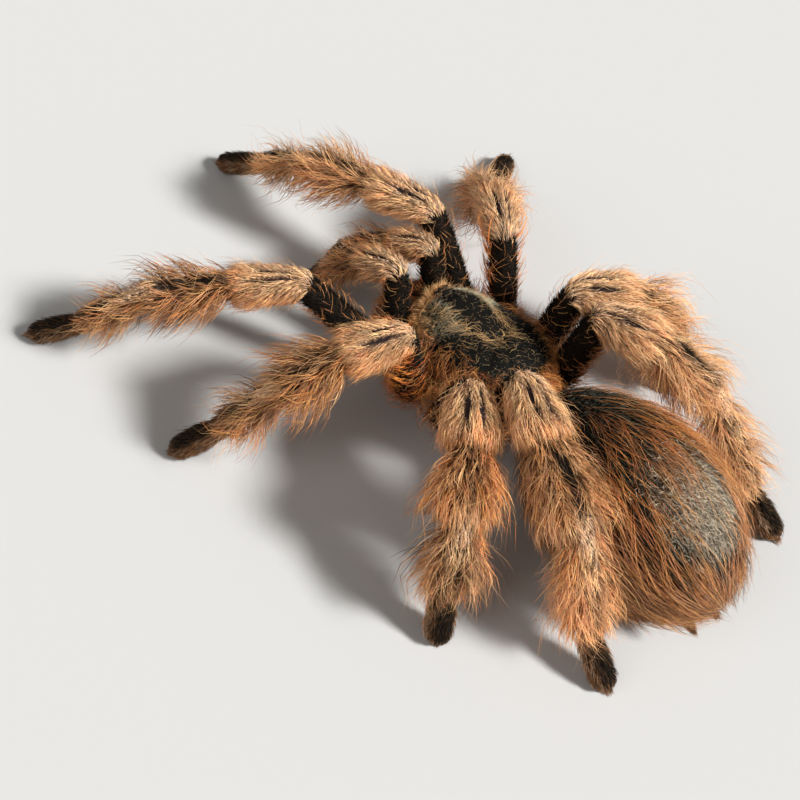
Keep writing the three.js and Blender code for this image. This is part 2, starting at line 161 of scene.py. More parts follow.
@dataclass
class Sheaf:
    """Faces and per-vertex values of a mesh in the making.

    coat holds, for each vertex, how far it is from root to tip, a number of chance of its hair's own
    and one of its tuft's; marks holds how pale, how dark and how rusty the place is; bake holds its
    place on the bake map.
    """

    verts: Array
    loops: Array
    starts: Array
    coat: Array
    marks: Array
    bake: Array

    @staticmethod
    def joined(parts: list["Sheaf"]) -> "Sheaf":
        """Puts several meshes into one.

        Args:
            parts: The meshes to join.

        Returns:
            One mesh, with every index moved on past those before it.
        """
        names = ("verts", "coat", "marks", "bake")
        verts, coat, marks, bake = (np.concatenate([getattr(part, name) for part in parts]) for name in names)
        vert_counts = np.cumsum([0] + [len(part.verts) for part in parts])
        loop_counts = np.cumsum([0] + [len(part.loops) for part in parts])
        loops = np.concatenate([part.loops + before for part, before in zip(parts, vert_counts)])
        starts = np.concatenate([part.starts + before for part, before in zip(parts, loop_counts)])
        return Sheaf(verts, loops, starts, coat, marks, bake)

    def triangles(self) -> int:
        """How many triangles its faces come to."""
        return len(self.loops) - 2 * len(self.starts)

    def mesh(self, name: str) -> bpy.types.Mesh:
        """The corners and faces as a mesh, in metres."""
        mesh = bpy.data.meshes.new(name)
        mesh.vertices.add(len(self.verts))
        mesh.vertices.foreach_set("co", (self.verts * MM).astype(np.float32).ravel())
        mesh.loops.add(len(self.loops))
        mesh.loops.foreach_set("vertex_index", self.loops.astype(np.int32))
        mesh.polygons.add(len(self.starts))
        mesh.polygons.foreach_set("loop_start", self.starts.astype(np.int32))
        mesh.update(calc_edges=True)
        return mesh

    def put(self, name: str, material: Material, slot: Slot, bake_map: bool = True) -> bpy.types.Object:
        """Makes the mesh an object at the origin, in metres.

        Args:
            name: The piece's name.
            material: What it is dressed in.
            slot: The record's slot that its finish comes from; not used.
            bake_map: Whether it gets the OFBake map, as every coat does.

        Returns:
            The new object, linked into the scene.
        """
        mesh = self.mesh(name)
        mesh.polygons.foreach_set("use_smooth", np.ones(len(self.starts), dtype=bool))
        paint(mesh, "coat", self.coat)
        paint(mesh, "marks", self.marks)
        if bake_map:
            layer = mesh.uv_layers.new(name="OFBake")
            layer.data.foreach_set("uv", self.bake[self.loops].astype(np.float32).ravel())
        mesh.materials.append(material)
        piece = linked(name, mesh)
        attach(piece, "root")
        log.info("%s: %d triangles", name, self.triangles())
        return piece


def paint(mesh: bpy.types.Mesh, name: str, values: Array) -> None:
    """Stores three numbers per vertex under a name that materials can read.

    Args:
        mesh: The mesh to store them on.
        name: The attribute's name.
        values: One row of three for each vertex.
    """
    layer = mesh.attributes.new(name, "FLOAT_COLOR", "POINT")
    rows = np.ones((len(values), 4), dtype=np.float32)
    rows[:, :3] = values
    layer.data.foreach_set("color", rows.ravel())


# ---- surfaces ----------------------------------------------------------------------------------


class Surface:
    """A closed surface given by two parameters: a along it and b, an angle round it from its back."""

    a_range: Pair = (0.0, math.pi)

    def point(self, a: Array, b: Array) -> Array:
        """Where the parameters (a, b) lie, in millimetres."""
        raise NotImplementedError

    def slopes(self, a: Array, b: Array) -> tuple[Array, Array]:
        """How the point moves with a and with b, by small central differences."""
        step = 1e-3
        along = (self.point(a + step, b) - self.point(a - step, b)) / (2 * step)
        around = (self.point(a, b + step) - self.point(a, b - step)) / (2 * step)
        return along, around

    def normal(self, a: Array, b: Array) -> Array:
        """The outward unit vector: the cross product of the two slopes."""
        along, around = self.slopes(a, b)
        return unit(np.cross(around, along))

    def lifted(self, a: Array, b: Array, height: Array) -> Array:
        """The place at a height straight above (a, b)."""
        return self.point(a, b) + height[..., None] * self.normal(a, b)

    def grain(self, a: Array, b: Array) -> tuple[Array, Array]:
        """Millimetres per unit of a and per unit of b."""
        along, around = self.slopes(a, b)
        return (
            np.maximum(np.linalg.norm(along, axis=-1), 0.4),
            np.maximum(np.linalg.norm(around, axis=-1), 0.4),
        )

    def place(self, a: Array, b: Array) -> Array:
        """Where (a, b) lies on an unwrap of the surface, inside the unit square."""
        low, high = self.a_range
        u = (np.asarray(b) / (2 * math.pi) + 0.5) % 1.0
        v = np.clip((np.asarray(a) - low) / (high - low), 0.0, 1.0)
        return np.stack([UNWRAP_EDGE + UNWRAP_SIZE * u, UNWRAP_EDGE + UNWRAP_SIZE * v], axis=-1)

    def shell(self, rows: int, columns: int, trim: float = 1e-3) -> Sheaf:
        """The surface as a closed mesh.

        A grid of rows along a and columns round b, with one more point at each end that closes it.

        Args:
            rows: Rings along the surface.
            columns: Points in each ring.
            trim: How far inside the range of a the first and last rings stand.

        Returns:
            The mesh, its faces outward.
        """
        low, high = self.a_range
        a = np.linspace(low + trim, high - trim, rows)
        b = np.linspace(-math.pi, math.pi, columns, endpoint=False)
        grid_a, grid_b = np.meshgrid(a, b, indexing="ij")
        body = self.point(grid_a.ravel(), grid_b.ravel())
        ends = np.stack([body[:columns].mean(axis=0), body[-columns:].mean(axis=0)])
        here = np.arange(columns)
        after = (here + 1) % columns
        rings = np.arange(rows - 1)[:, None] * columns
        quads = np.stack([rings + here, rings + after, rings + columns + after, rings + columns + here], -1)
        first = np.stack([after, here, np.full(columns, rows * columns)], -1)
        last_ring = (rows - 1) * columns
        last = np.stack([last_ring + here, last_ring + after, np.full(columns, rows * columns + 1)], -1)
        loops = np.concatenate([quads.ravel(), first.ravel(), last.ravel()])
        count = (rows - 1) * columns
        starts = np.concatenate([np.arange(count) * 4, count * 4 + np.arange(2 * columns) * 3])
        verts = np.concatenate([body, ends])
        blank = np.zeros((len(verts), 3))
        return Sheaf(verts, loops, starts, blank, blank, np.zeros((len(verts), 2)))


@dataclass
class Tube(Surface):
    """A tube along a path, with its own height and width at each place; a is millimetres along it."""

    path: Array
    half_height: Array
    half_width: Array
    back: Array
    start: float
    step: float

    def __post_init__(self) -> None:
        """Works out the frame at each place: forward along the path, up its back, and to its side."""
        forward = unit(np.gradient(self.path, axis=0))
        back = self.back - (self.back * forward).sum(-1, keepdims=True) * forward
        self.up = unit(back)
        self.side = np.cross(forward, self.up)
        self.a_range = (self.start, self.start + self.step * (len(self.path) - 1))

    def read(self, a: Array, *rows: Array) -> list[Array]:
        """Values between the stored places, by straight lines; past the ends a path runs on, a size stays."""
        at = (np.asarray(a) - self.start) / self.step
        index = np.clip(np.floor(at).astype(int), 0, len(self.path) - 2)
        part = at - index
        found = []
        for row in rows:
            share = part[..., None] if row.ndim == 2 else np.clip(part, 0.0, 1.0)
            found.append(row[index] * (1 - share) + row[index + 1] * share)
        return found

    def axes(self, a: Array) -> tuple[Array, Array]:
        """The up and side directions at the nearest stored places."""
        index = np.clip(np.rint((np.asarray(a) - self.start) / self.step).astype(int), 0, len(self.path) - 1)
        return self.up[index], self.side[index]

    def lifted(self, a: Array, b: Array, height: Array) -> Array:
        """Centre plus (half size + height) times the unit direction at angle b from the back."""
        centre, tall, wide = self.read(a, self.path, self.half_height, self.half_width)
        up, side = self.axes(a)
        return (
            centre
            + ((tall + height) * np.cos(b))[..., None] * up
            + ((wide + height) * np.sin(b))[..., None] * side
        )

    def point(self, a: Array, b: Array) -> Array:
        """The tube's own surface."""
        return self.lifted(a, b, np.zeros(np.shape(a)))

    def grain(self, a: Array, b: Array) -> tuple[Array, Array]:
        """One millimetre along per unit of a, and the radius per radian of b."""
        tall, wide = self.read(a, self.half_height, self.half_width)
        return np.ones(np.shape(a)), np.maximum((tall + wide) / 2, 0.4)

    def normal(self, a: Array, b: Array) -> Array:
        """Straight out from the path."""
        up, side = self.axes(a)
        return np.cos(b)[..., None] * up + np.sin(b)[..., None] * side


def ringed_tube(centres: Array, heights: Array, widths: Array, back: Array) -> Tube:
    """A tube through a few rings.

    The rings are joined by straight lines, cut every quarter millimetre or finer, and softened; each
    end is rounded off over 0.8 of its half height.

    Args:
        centres: One place for each ring.
        heights: Half height of each ring.
        widths: Half width of each ring.
        back: The direction that the tube's back faces.

    Returns:
        The tube.
    """
    gaps = np.linalg.norm(np.diff(centres, axis=0), axis=1)
    stations = np.concatenate([[0.0], np.cumsum(gaps)])
    step = stations[-1] / max(12, int(stations[-1] / 0.25))
    at = np.arange(0.0, stations[-1] + step / 2, step)
    path = np.stack([np.interp(at, stations, axis) for axis in centres.T], axis=1)
    path = soften(path, 0.7 / step)
    tall = soften(np.interp(at, stations, heights), 0.5 / step)
    wide = soften(np.interp(at, stations, widths), 0.5 / step)
    cap = 0.8 * np.interp(at, stations, heights)
    near = np.minimum(at, stations[-1] - at)
    rounding = np.sqrt(np.clip(1 - (1 - np.clip(near / cap, 0, 1)) ** 2, 0.01, 1))
    return Tube(path, tall * rounding, wide * rounding, np.tile(back, (len(at), 1)), 0.0, step)


# ---- the stance --------------------------------------------------------------------------------


@dataclass(frozen=True)
class Stance:
    """Where the front body stands and how it leans."""

    height: float = 14.2
    nose_down: float = 5.0
    left_side_up: float = 8.0
    shift: Pair = (-1.01, 2.77)

    def turn(self) -> Array:
        """The front body's rotation: the lean to its right after the dip of its nose."""
        dip = Matrix.Rotation(math.radians(self.nose_down), 3, "X")
        lean = Matrix.Rotation(math.radians(-self.left_side_up), 3, "Y")
        return np.array(dip @ lean)

    def on_body(self, forward: Array, out: Array, up: Array) -> Array:
        """A place given forward, out to the left and up from the carapace's middle."""
        local = np.stack(np.broadcast_arrays(out, -np.asarray(forward), up), axis=-1)
        moved = local @ self.turn().T
        return moved + np.array([self.shift[0], self.shift[1], self.height])

    def outward(self, heading: float, sign: float) -> Array:
        """A level heading, leaned with the front body."""
        return self.turn() @ heading_vector(heading, 0.0, sign)


STANCE = Stance()


class Side(Enum):
    """The spider's own left and right."""

    LEFT = 1.0
    RIGHT = -1.0

    def label(self) -> str:
        """The side's name in lower case."""
        return self.name.lower()


class Piece(Enum):
    """The pieces of a limb, from the body out."""

    FEMUR = "femur"
    PATELLA = "patella"
    TIBIA = "tibia"
    METATARSUS = "metatarsus"
    TARSUS = "tarsus"


LEG_PIECES = [Piece.FEMUR, Piece.PATELLA, Piece.TIBIA, Piece.METATARSUS, Piece.TARSUS]
PALP_PIECES = [Piece.FEMUR, Piece.PATELLA, Piece.TIBIA, Piece.TARSUS]
# The skin's radius as a part of the coat's, piece by piece.
SKIN_SHARE = {
    Piece.FEMUR: 0.72,
    Piece.PATELLA: 0.68,
    Piece.TIBIA: 0.5,
    Piece.METATARSUS: 0.46,
    Piece.TARSUS: 0.7,
}


@dataclass
class Limb:
    """A leg or palp: its root, its pose, and the tube of skin through its joints."""

    name: str
    side: Side
    root: tuple[float, float, float, float]
    headings: list[float]
    rises: list[float]
    lengths: list[float]
    radii: list[float]
    pieces: list[Piece]
    coxa_length: float = 8.5
    coxa_radius: float = 2.35
    end_rounding: float = 1.6
    tip_fullness: float = 0.62
    tip_press: float = 0.35

    def __post_init__(self) -> None:
        """Works out the joints, then the skin's tube along them."""
        sign = self.side.value
        forward, out, up, heading = self.root
        joints = [STANCE.on_body(forward, sign * out, up)]
        for index, length in enumerate(self.lengths):
            rise = self.rises[index] if index < len(self.rises) else self.resting_rise(joints[-1][2])
            joints.append(joints[-1] + length * heading_vector(self.headings[index], rise, sign))
        inward = STANCE.outward(heading, sign)
        inner = joints[0] - self.coxa_length * inward + np.array([0.0, 0.0, 0.6])
        self.joints = np.stack(joints)
        self.ends = np.concatenate([[0.0], np.cumsum(self.lengths)])
        self.tube = self.skin_tube(np.vstack([inner, self.joints]))

    def resting_rise(self, height: float) -> float:
        """The rise that sets the blunt tip of the last piece on the floor, pressed a little flat."""
        slope, length, radius = 0.0, self.lengths[-1], self.radii[-1]
        for _ in range(10):
            tip = self.tip_fullness * radius * math.sqrt(1 - slope**2) - self.tip_press
            slope = max(-0.97, (tip - height) / length)
        return math.degrees(math.asin(slope))

    def skin_tube(self, corners: Array) -> Tube:
        """The tube of skin: joints rounded, waists at the joints, a round tip.

        The radius of each piece swells between its ends by a sine, and the whole row of radii is
        softened, so that each joint is a waist.

        Args:
            corners: The limb's inner end and its joints.

        Returns:
            The tube, measured from the femur's root, with the coxa below zero.
        """
        step = 0.25
        gaps = np.linalg.norm(np.diff(corners, axis=0), axis=1)
        stations = np.concatenate([[0.0], np.cumsum(gaps)]) - gaps[0]
        count = int(round((stations[-1] - stations[0]) / step))
        step = (stations[-1] - stations[0]) / count
        at = stations[0] + step * np.arange(count + 1)
        path = np.stack([np.interp(at, stations, axis) for axis in corners.T], axis=1)
        path = soften(path, 1.1 / step)
        radius = np.full(len(at), self.coxa_radius)
        for index, piece in enumerate(self.pieces):
            low, high = self.ends[index], self.ends[index + 1]
            part = np.clip((at - low) / (high - low), 0, 1)
            full = SKIN_SHARE[piece] * self.radii[index]
            bulge = 0.82 + 0.18 * np.sin(math.pi * np.clip(part * 0.9 + 0.05, 0, 1)) ** 0.7
            radius = np.where((at >= low) & (at <= high), full * bulge, radius)
        radius = soften(radius, 0.55 / step)
        for gap in (stations[-1] - at, at - stations[0]):
            near = 1 - np.clip(gap / self.end_rounding, 0, 1)
            radius *= np.sqrt(np.clip(1 - near**2, 0.02, 1))
        tangent = unit(np.gradient(path, axis=0))
        back = UP - (UP * tangent).sum(-1, keepdims=True) * tangent
        back = soften(unit(back), 1.5 / step)
        return Tube(path, radius, radius * 0.96, back, stations[0], step)

    def part(self, a: Array) -> tuple[Array, Array]:
        """Which piece a place along the limb is in, and how far along that piece."""
        index = np.clip(np.searchsorted(self.ends, a, side="right") - 1, 0, len(self.pieces) - 1)
        low, high = self.ends[index], self.ends[index + 1]
        return index, (a - low) / (high - low)

    def span(self, piece: Piece) -> Pair:
        """Where a piece starts and ends along the limb."""
        index = self.pieces.index(piece)
        return float(self.ends[index]), float(self.ends[index + 1])

    def share(self, piece: Piece, a: Array) -> Array:
        """How far along a piece a place is, from 0 to 1."""
        low, high = self.span(piece)
        return (a - low) / (high - low)

    def nodes(self) -> list[str]:
        """The names of the limb's frame nodes."""
        return [f"{self.name}_{piece.value}" for piece in self.pieces]


LEG_ROOTS = [
    (11.5, 11.5, -4.5, 48.0),
    (4.0, 14.5, -5.0, 76.0),
    (-4.5, 14.5, -5.0, 104.0),
    (-12.0, 11.5, -4.5, 134.0),
]
LEG_LENGTHS = [
    [22.0, 13.0, 16.0, 14.5, 10.3],
    [19.0, 12.0, 14.0, 14.0, 9.8],
    [18.0, 11.0, 13.0, 15.5, 9.3],
    [20.5, 11.5, 16.5, 20.5, 10.3],
]
LEG_RADII = [
    [3.5, 3.9, 4.7, 4.0, 2.6],
    [3.5, 4.2, 5.1, 4.3, 2.8],
    [3.8, 5.1, 6.0, 5.1, 3.0],
    [3.8, 4.8, 5.6, 4.8, 2.9],
]
LEG_POSES = {
    Side.LEFT: [
        ([26, 50, 55, 41, 31], [30, -6, -8, -45]),
        ([72, 66, 64, 48, 44], [73, -5, -37, -54]),
        ([137, 134, 128, 132, 147], [68, -8, -16, -67]),
        ([153, 153, 158, 164, 178], [79, -7, -20, -57]),
    ],
    Side.RIGHT: [
        ([-7, -17, -4, 1, -6], [54, -5, -24, -44]),
        ([24, 42, 60, 68, 68], [60, -10, -53, -30]),
        ([131, 135, 132, 138, 144], [81, 1, -35, -84]),
        ([162, 164, 154, 179, 174], [83, 6, -35, -44]),
    ],
}
PALP_ROOT = (14.5, 6.0, -4.0, 18.0)
PALP_LENGTHS = [15.0, 9.3, 11.0, 9.3]
PALP_RADII = [2.9, 3.5, 3.9, 3.0]
PALP_POSES = {
    Side.LEFT: ([-8, 0, -3, -3], [73, -32, -55]),
    Side.RIGHT: ([-12, -4, -12, -22], [70, -36, -44]),
}


def make_limbs() -> list[Limb]:
    """The two palps and the eight legs, in their stance."""
    limbs = []
    for side in Side:
        name = f"palp_{side.label()}"
        limbs.append(Limb(name, side, PALP_ROOT, *PALP_POSES[side], PALP_LENGTHS, PALP_RADII, PALP_PIECES))
        rows = zip(LEG_ROOTS, LEG_POSES[side], LEG_LENGTHS, LEG_RADII)
        for number, (root, pose, lengths, radii) in enumerate(rows, start=1):
            name = f"leg_{side.label()}_{number}"
            limbs.append(Limb(name, side, root, *pose, lengths, radii, LEG_PIECES))
    return limbs


# ---- the coat ----------------------------------------------------------------------------------


@dataclass(frozen=True)
class Pelt:
    """One kind of hair: tufts per square millimetre, hairs in a tuft, and how each hair grows.

    Length, width and scatter are millimetres; lift (at the root, at the tip), stray, bend and wave
    are degrees; gather and uneven are shares.
    """

    tufts: float
    hairs: int
    length: float
    width: float
    lift: Pair
    scatter: float
    gather: float
    stray: float
    bend: float
    rings: int
    uneven: float = 0.22
    wave: float = 0.0


@dataclass
class Patch:
    """The tufts of one stretch of coat: where each stands, how it lies, and its markings."""

    a: Array
    b: Array
    lie: Array
    stretch: Array
    raise_by: Array
    marks: Array

    def dice(self, rng: np.random.Generator) -> Array:
        """One number of chance for each tuft."""
        return rng.random(len(self.a))


def sown(
    surface: Surface,
    pelt: Pelt,
    a_span: Pair,
    rng: np.random.Generator,
    keep: Keep | None = None,
    b_span: Pair = FULL_TURN,
) -> Patch:
    """Spreads the tufts of a kind of hair evenly over part of a surface.

    Places go on by even steps in both directions, which leaves no rows or clumps, and each is kept
    with a chance in proportion to the area that it stands for.

    Args:
        surface: What they stand on.
        pelt: The kind of hair.
        a_span: The stretch along the surface.
        rng: Where chance comes from.
        keep: A function of (a, b) that gives each place's share of the pelt's density, or nothing.
        b_span: The stretch round it.

    Returns:
        The tufts, lying straight along the surface, with no markings.
    """
    probe_a = np.linspace(*a_span, 40)[:, None] + np.zeros((1, 24))
    probe_b = np.linspace(*b_span, 24)[None, :] + np.zeros((40, 1))
    along, around = surface.grain(probe_a.ravel(), probe_b.ravel())
    most = float((along * around).max())
    extent = (a_span[1] - a_span[0]) * (b_span[1] - b_span[0])
    count = max(4, int(most * extent * pelt.tufts))
    order = np.arange(count) + rng.random() * 1000
    a = a_span[0] + (a_span[1] - a_span[0]) * ((order * EVEN_STEPS[0]) % 1.0)
    b = b_span[0] + (b_span[1] - b_span[0]) * ((order * EVEN_STEPS[1]) % 1.0)
    along, around = surface.grain(a, b)
    chance = along * around / most
    if keep is not None:
        chance = chance * keep(a, b)
    kept = rng.random(count) < chance
    n = int(kept.sum())
    return Patch(a[kept], b[kept], np.zeros(n), np.ones(n), np.zeros(n), np.zeros((n, 3)))


def grow(
    surface: Surface,
    pelt: Pelt,
    patch: Patch,
    rng: np.random.Generator,
    tile: Triple = (0, 0, 1),
) -> Sheaf:
    """Grows hairs on a surface.

    Each tuft sets a path in the surface's own two parameters and a height above it: the height rises
    by the sine of the lift, the way along by its cosine, and the lift runs from its value at the
    root to its value at the tip. A wavy hair's way swings to and fro by a sine. Hairs start scattered
    round their tuft's root and come together toward its tip. A hair is a tapering three-sided blade.

    Args:
        surface: What they grow from.
        pelt: The kind of hair.
        patch: The tufts.
        rng: Where chance comes from.
        tile: The corner and size of the square of the bake map that this surface has.

    Returns:
        The hairs as a mesh.
    """
    tuft = np.repeat(np.arange(len(patch.a)), pelt.hairs)
    n = len(tuft)
    along, around = surface.grain(patch.a, patch.b)
    angle = rng.random(n) * 2 * math.pi
    reach = pelt.scatter * np.sqrt(rng.random(n))
    off_a = reach * np.cos(angle) / along[tuft]
    off_b = reach * np.sin(angle) / around[tuft]
    tuft_lie = patch.lie + np.radians(pelt.stray) * rng.normal(size=len(patch.a))
    lie = tuft_lie[tuft] + np.radians(pelt.stray * 0.5) * rng.normal(size=n)
    turn = np.radians(pelt.bend) * rng.normal(size=n)
    tuft_length = pelt.length * patch.stretch * (1 + pelt.uneven * rng.normal(size=len(patch.a)).clip(-2, 2))
    length = tuft_length[tuft] * (1 + 0.5 * pelt.uneven * rng.normal(size=n).clip(-2, 2))
    length = np.maximum(length, SHORTEST)
    extra = patch.raise_by[tuft] + LIFT_CHANCE * rng.normal(size=n)
    rings = pelt.rings
    middles = (np.arange(rings) + 0.5) / rings
    lift = np.radians(pelt.lift[0] + (pelt.lift[1] - pelt.lift[0]) * middles[None, :] + extra[:, None])
    phase = rng.random((n, 1))
    way = lie[:, None] + turn[:, None] * middles[None, :]
    way += np.radians(pelt.wave) * np.sin(2 * math.pi * (1.2 * middles[None, :] + phase))
    run = length[:, None] / rings
    rise = np.cumsum(run * np.sin(lift), axis=1)
    ahead = np.cumsum(run * np.cos(lift) * np.cos(way), axis=1)
    aside = np.cumsum(run * np.cos(lift) * np.sin(way), axis=1)
    zero = np.zeros((n, 1))
    stations = np.concatenate([[0.0], (np.arange(rings) + 1) / rings])
    closing = 1 - pelt.gather * stations**1.2
    a = patch.a[tuft][:, None] + off_a[:, None] * closing + np.hstack([zero, ahead]) / along[tuft][:, None]
    b = patch.b[tuft][:, None] + off_b[:, None] * closing + np.hstack([zero, aside]) / around[tuft][:, None]
    height = np.hstack([zero - ROOT_DEPTH, rise])
    path = surface.lifted(a.ravel(), b.ravel(), height.ravel()).reshape(n, rings + 1, 3)
    path[..., 2] = np.maximum(path[..., 2], FLOOR_CLEARANCE + 0.1 * rng.random((n, 1)))
    out = surface.normal(a[:, 0], b[:, 0])
    width = pelt.width * (0.75 + 0.5 * rng.random(n)) / 2
    own = rng.random(n)
    shared = rng.random(len(patch.a))[tuft]
    place = surface.place(a[:, 0], b[:, 0]) * tile[2] + np.array(tile[:2])
    marks = patch.marks[tuft]
    return blades(path, out, width, np.stack([own, shared], -1), marks, place)


def blades(path: Array, out: Array, width: Array, own: Array, marks: Array, place: Array) -> Sheaf:
    """Makes each path a closed three-sided blade.

    A ring of three corners stands round each station but the last, at 120 degrees to each other and
    square to the blade's chord; they narrow toward the last station, which is the point. A long blade
    turns a flat side outward, give or take 40 degrees, and a velvet blade, of one ring, its edge.

    Args:
        path: Stations of each blade.
        out: The surface's outward direction at each root.
        width: Half width at each root.
        own: Two numbers of chance for each blade: its own and its tuft's.
        marks: Markings of each blade.
        place: Each root's place on the bake map.

    Returns:
        The mesh.
    """
    n, stations, _ = path.shape
    rings = stations - 1
    chord = unit(path[:, -1] - path[:, 0])
    across = unit(np.cross(chord, out) + 1e-6)
    upward = np.cross(chord, across)
    t = np.arange(rings) / rings
    taper = 1 - 0.72 * t**1.4
    flat = rings > 1
    spin = math.radians(BLADE_TURN) * (2 * ((own[:, :1] * 7.31) % 1) - 1) - math.pi / 3
    turn = np.radians([90.0, 210.0, 330.0]) + flat * spin
    corners = np.cos(turn)[:, :, None] * across[:, None, :] + np.sin(turn)[:, :, None] * upward[:, None, :]
    size = width[:, None, None, None] * taper[None, :, None, None]
    rim = path[:, :rings, None, :] + size * corners[:, None, :, :]
    verts = np.concatenate([rim.reshape(n, rings * 3, 3), path[:, -1:, :]], axis=1)
    verts[..., 2] = np.maximum(verts[..., 2], LOWEST)
    per = rings * 3 + 1
    k = np.arange(3)
    after = (k + 1) % 3
    ring = np.arange(rings - 1)[:, None] * 3
    quads = np.stack([ring + k, ring + after, ring + 3 + after, ring + 3 + k], -1).ravel()
    base = (rings - 1) * 3
    tips = np.stack([base + k, base + after, np.full(3, rings * 3)], -1).ravel()
    local = np.concatenate([[2, 1, 0], quads, tips])
    sizes = np.concatenate([[3], np.full((rings - 1) * 3, 4), np.full(3, 3)])
    local_starts = np.concatenate([[0], np.cumsum(sizes)[:-1]])
    loops = (local[None, :] + (np.arange(n) * per)[:, None]).ravel()
    starts = (local_starts[None, :] + (np.arange(n) * len(local))[:, None]).ravel()
    along = np.concatenate([np.repeat(t, 3), [1.0]])
    coat = np.empty((n, per, 3))
    coat[..., 0] = along[None, :]
    coat[..., 1:] = own[:, None, :]
    shift = np.stack([np.concatenate([np.tile(k / 2, rings), [0.5]]) - 0.5, along - 0.5], -1)
    bake = place[:, None, :] + BAKE_PATCH * shift[None, :, :]
    return Sheaf(
        verts.reshape(-1, 3),
        loops,
        starts,
        coat.reshape(-1, 3),
        np.repeat(marks, per, axis=0),
        bake.reshape(-1, 2),
    )


# ---- finishes ----------------------------------------------------------------------------------


def new_group(name: str, colours: tuple[str, ...], numbers: tuple[str, ...]) -> bpy.types.NodeTree:
    """A node group with these inputs and a colour out.

    Args:
        name: The group's name.
        colours: The names of its colour inputs.
        numbers: The names of its plain inputs, which come after them.

    Returns:
        The group, with no nodes yet.
    """
    group = bpy.data.node_groups.new(name, "ShaderNodeTree")
    for kind, names in (("NodeSocketColor", colours), ("NodeSocketFloat", numbers)):
        for socket in names:
            group.interface.new_socket(socket, in_out="INPUT", socket_type=kind)
    group.interface.new_socket("Color", in_out="OUTPUT", socket_type="NodeSocketColor")
    return group


def shade_group() -> bpy.types.NodeTree:
    """The coat's colours: root to tip, then pale, rusty and dark markings, then chance. The dark roots and the
    darkening toward them are painted shade deep in the coat.

    Returns:
        A node group with five colours, the amount of chance and the roots' painted shade in, and a colour out.
    """
    found = bpy.data.node_groups.get("coat_colour")
    if found:
        return found
    group = new_group("coat_colour", ("Root", "Tip", "Pale", "Dark", "Rust"), ("Chance", "Shade"))
    kit = NodeKit(group)
    inputs = kit.add("NodeGroupInput")
    coat = kit.split(kit.attribute("coat"))
    marks = kit.split(kit.attribute("marks"))
    # Painted shade: the dark root colour darkens each hair toward its base, where the coat lies in shade.
    along = kit.math("POWER", coat[0], 0.5)
    shaft = kit.mix(along, inputs.outputs["Root"], inputs.outputs["Tip"])
    pale = kit.mix(marks[PALE], shaft, inputs.outputs["Pale"])
    rust = kit.mix(marks[RUST], pale, inputs.outputs["Rust"])
    dark = kit.mix(marks[DARK], rust, inputs.outputs["Dark"])
    own = kit.math("MULTIPLY", coat[1], CHANCE_OF_ITS_OWN)
    chance = kit.math("ADD", own, kit.math("MULTIPLY", coat[2], CHANCE_OF_ITS_TUFT))
    spread = kit.math("MULTIPLY", kit.math("SUBTRACT", chance, 0.5), inputs.outputs["Chance"])
    # Painted shade: each hair darkens further toward its root by the Shade input.
    deep = kit.math("MULTIPLY", kit.math("SUBTRACT", 1.0, along), inputs.outputs["Shade"])
    level = kit.math("SUBTRACT", kit.math("MINIMUM", kit.math("ADD", spread, 1.2), 1.6), deep)
    tint = kit.add("ShaderNodeHueSaturation")
    kit.join(level, tint.inputs["Value"])
    hue = kit.math("ADD", kit.math("MULTIPLY", kit.math("SUBTRACT", coat[1], 0.5), 0.03), 0.5)
    kit.join(hue, tint.inputs["Hue"])
    kit.join(dark, tint.inputs["Color"])
    outputs = kit.add("NodeGroupOutput")
    kit.join(tint.outputs["Color"], outputs.inputs["Color"])
    return group


def mottle_group() -> bpy.types.NodeTree:
    """Uneven colour and fine pitting for skin, shell and horn, from noise in object space.

    Returns:
        A node group with two colours, a scale and a fineness in, and a colour and a height out.
    """
    found = bpy.data.node_groups.get("mottle")
    if found:
        return found
    group = new_group("mottle", ("First", "Second"), ("Scale", "Fineness"))
    group.interface.new_socket("Height", in_out="OUTPUT", socket_type="NodeSocketFloat")
    kit = NodeKit(group)
    inputs = kit.add("NodeGroupInput")
    place = kit.add("ShaderNodeTexCoord").outputs["Object"]
    broad = kit.noise(place, inputs.outputs["Scale"], 3.0)
    fine = kit.noise(place, inputs.outputs["Fineness"], 2.0)
    outputs = kit.add("NodeGroupOutput")
    kit.join(kit.mix(broad, inputs.outputs["First"], inputs.outputs["Second"]), outputs.inputs["Color"])
    kit.join(fine, outputs.inputs["Height"])
    return group


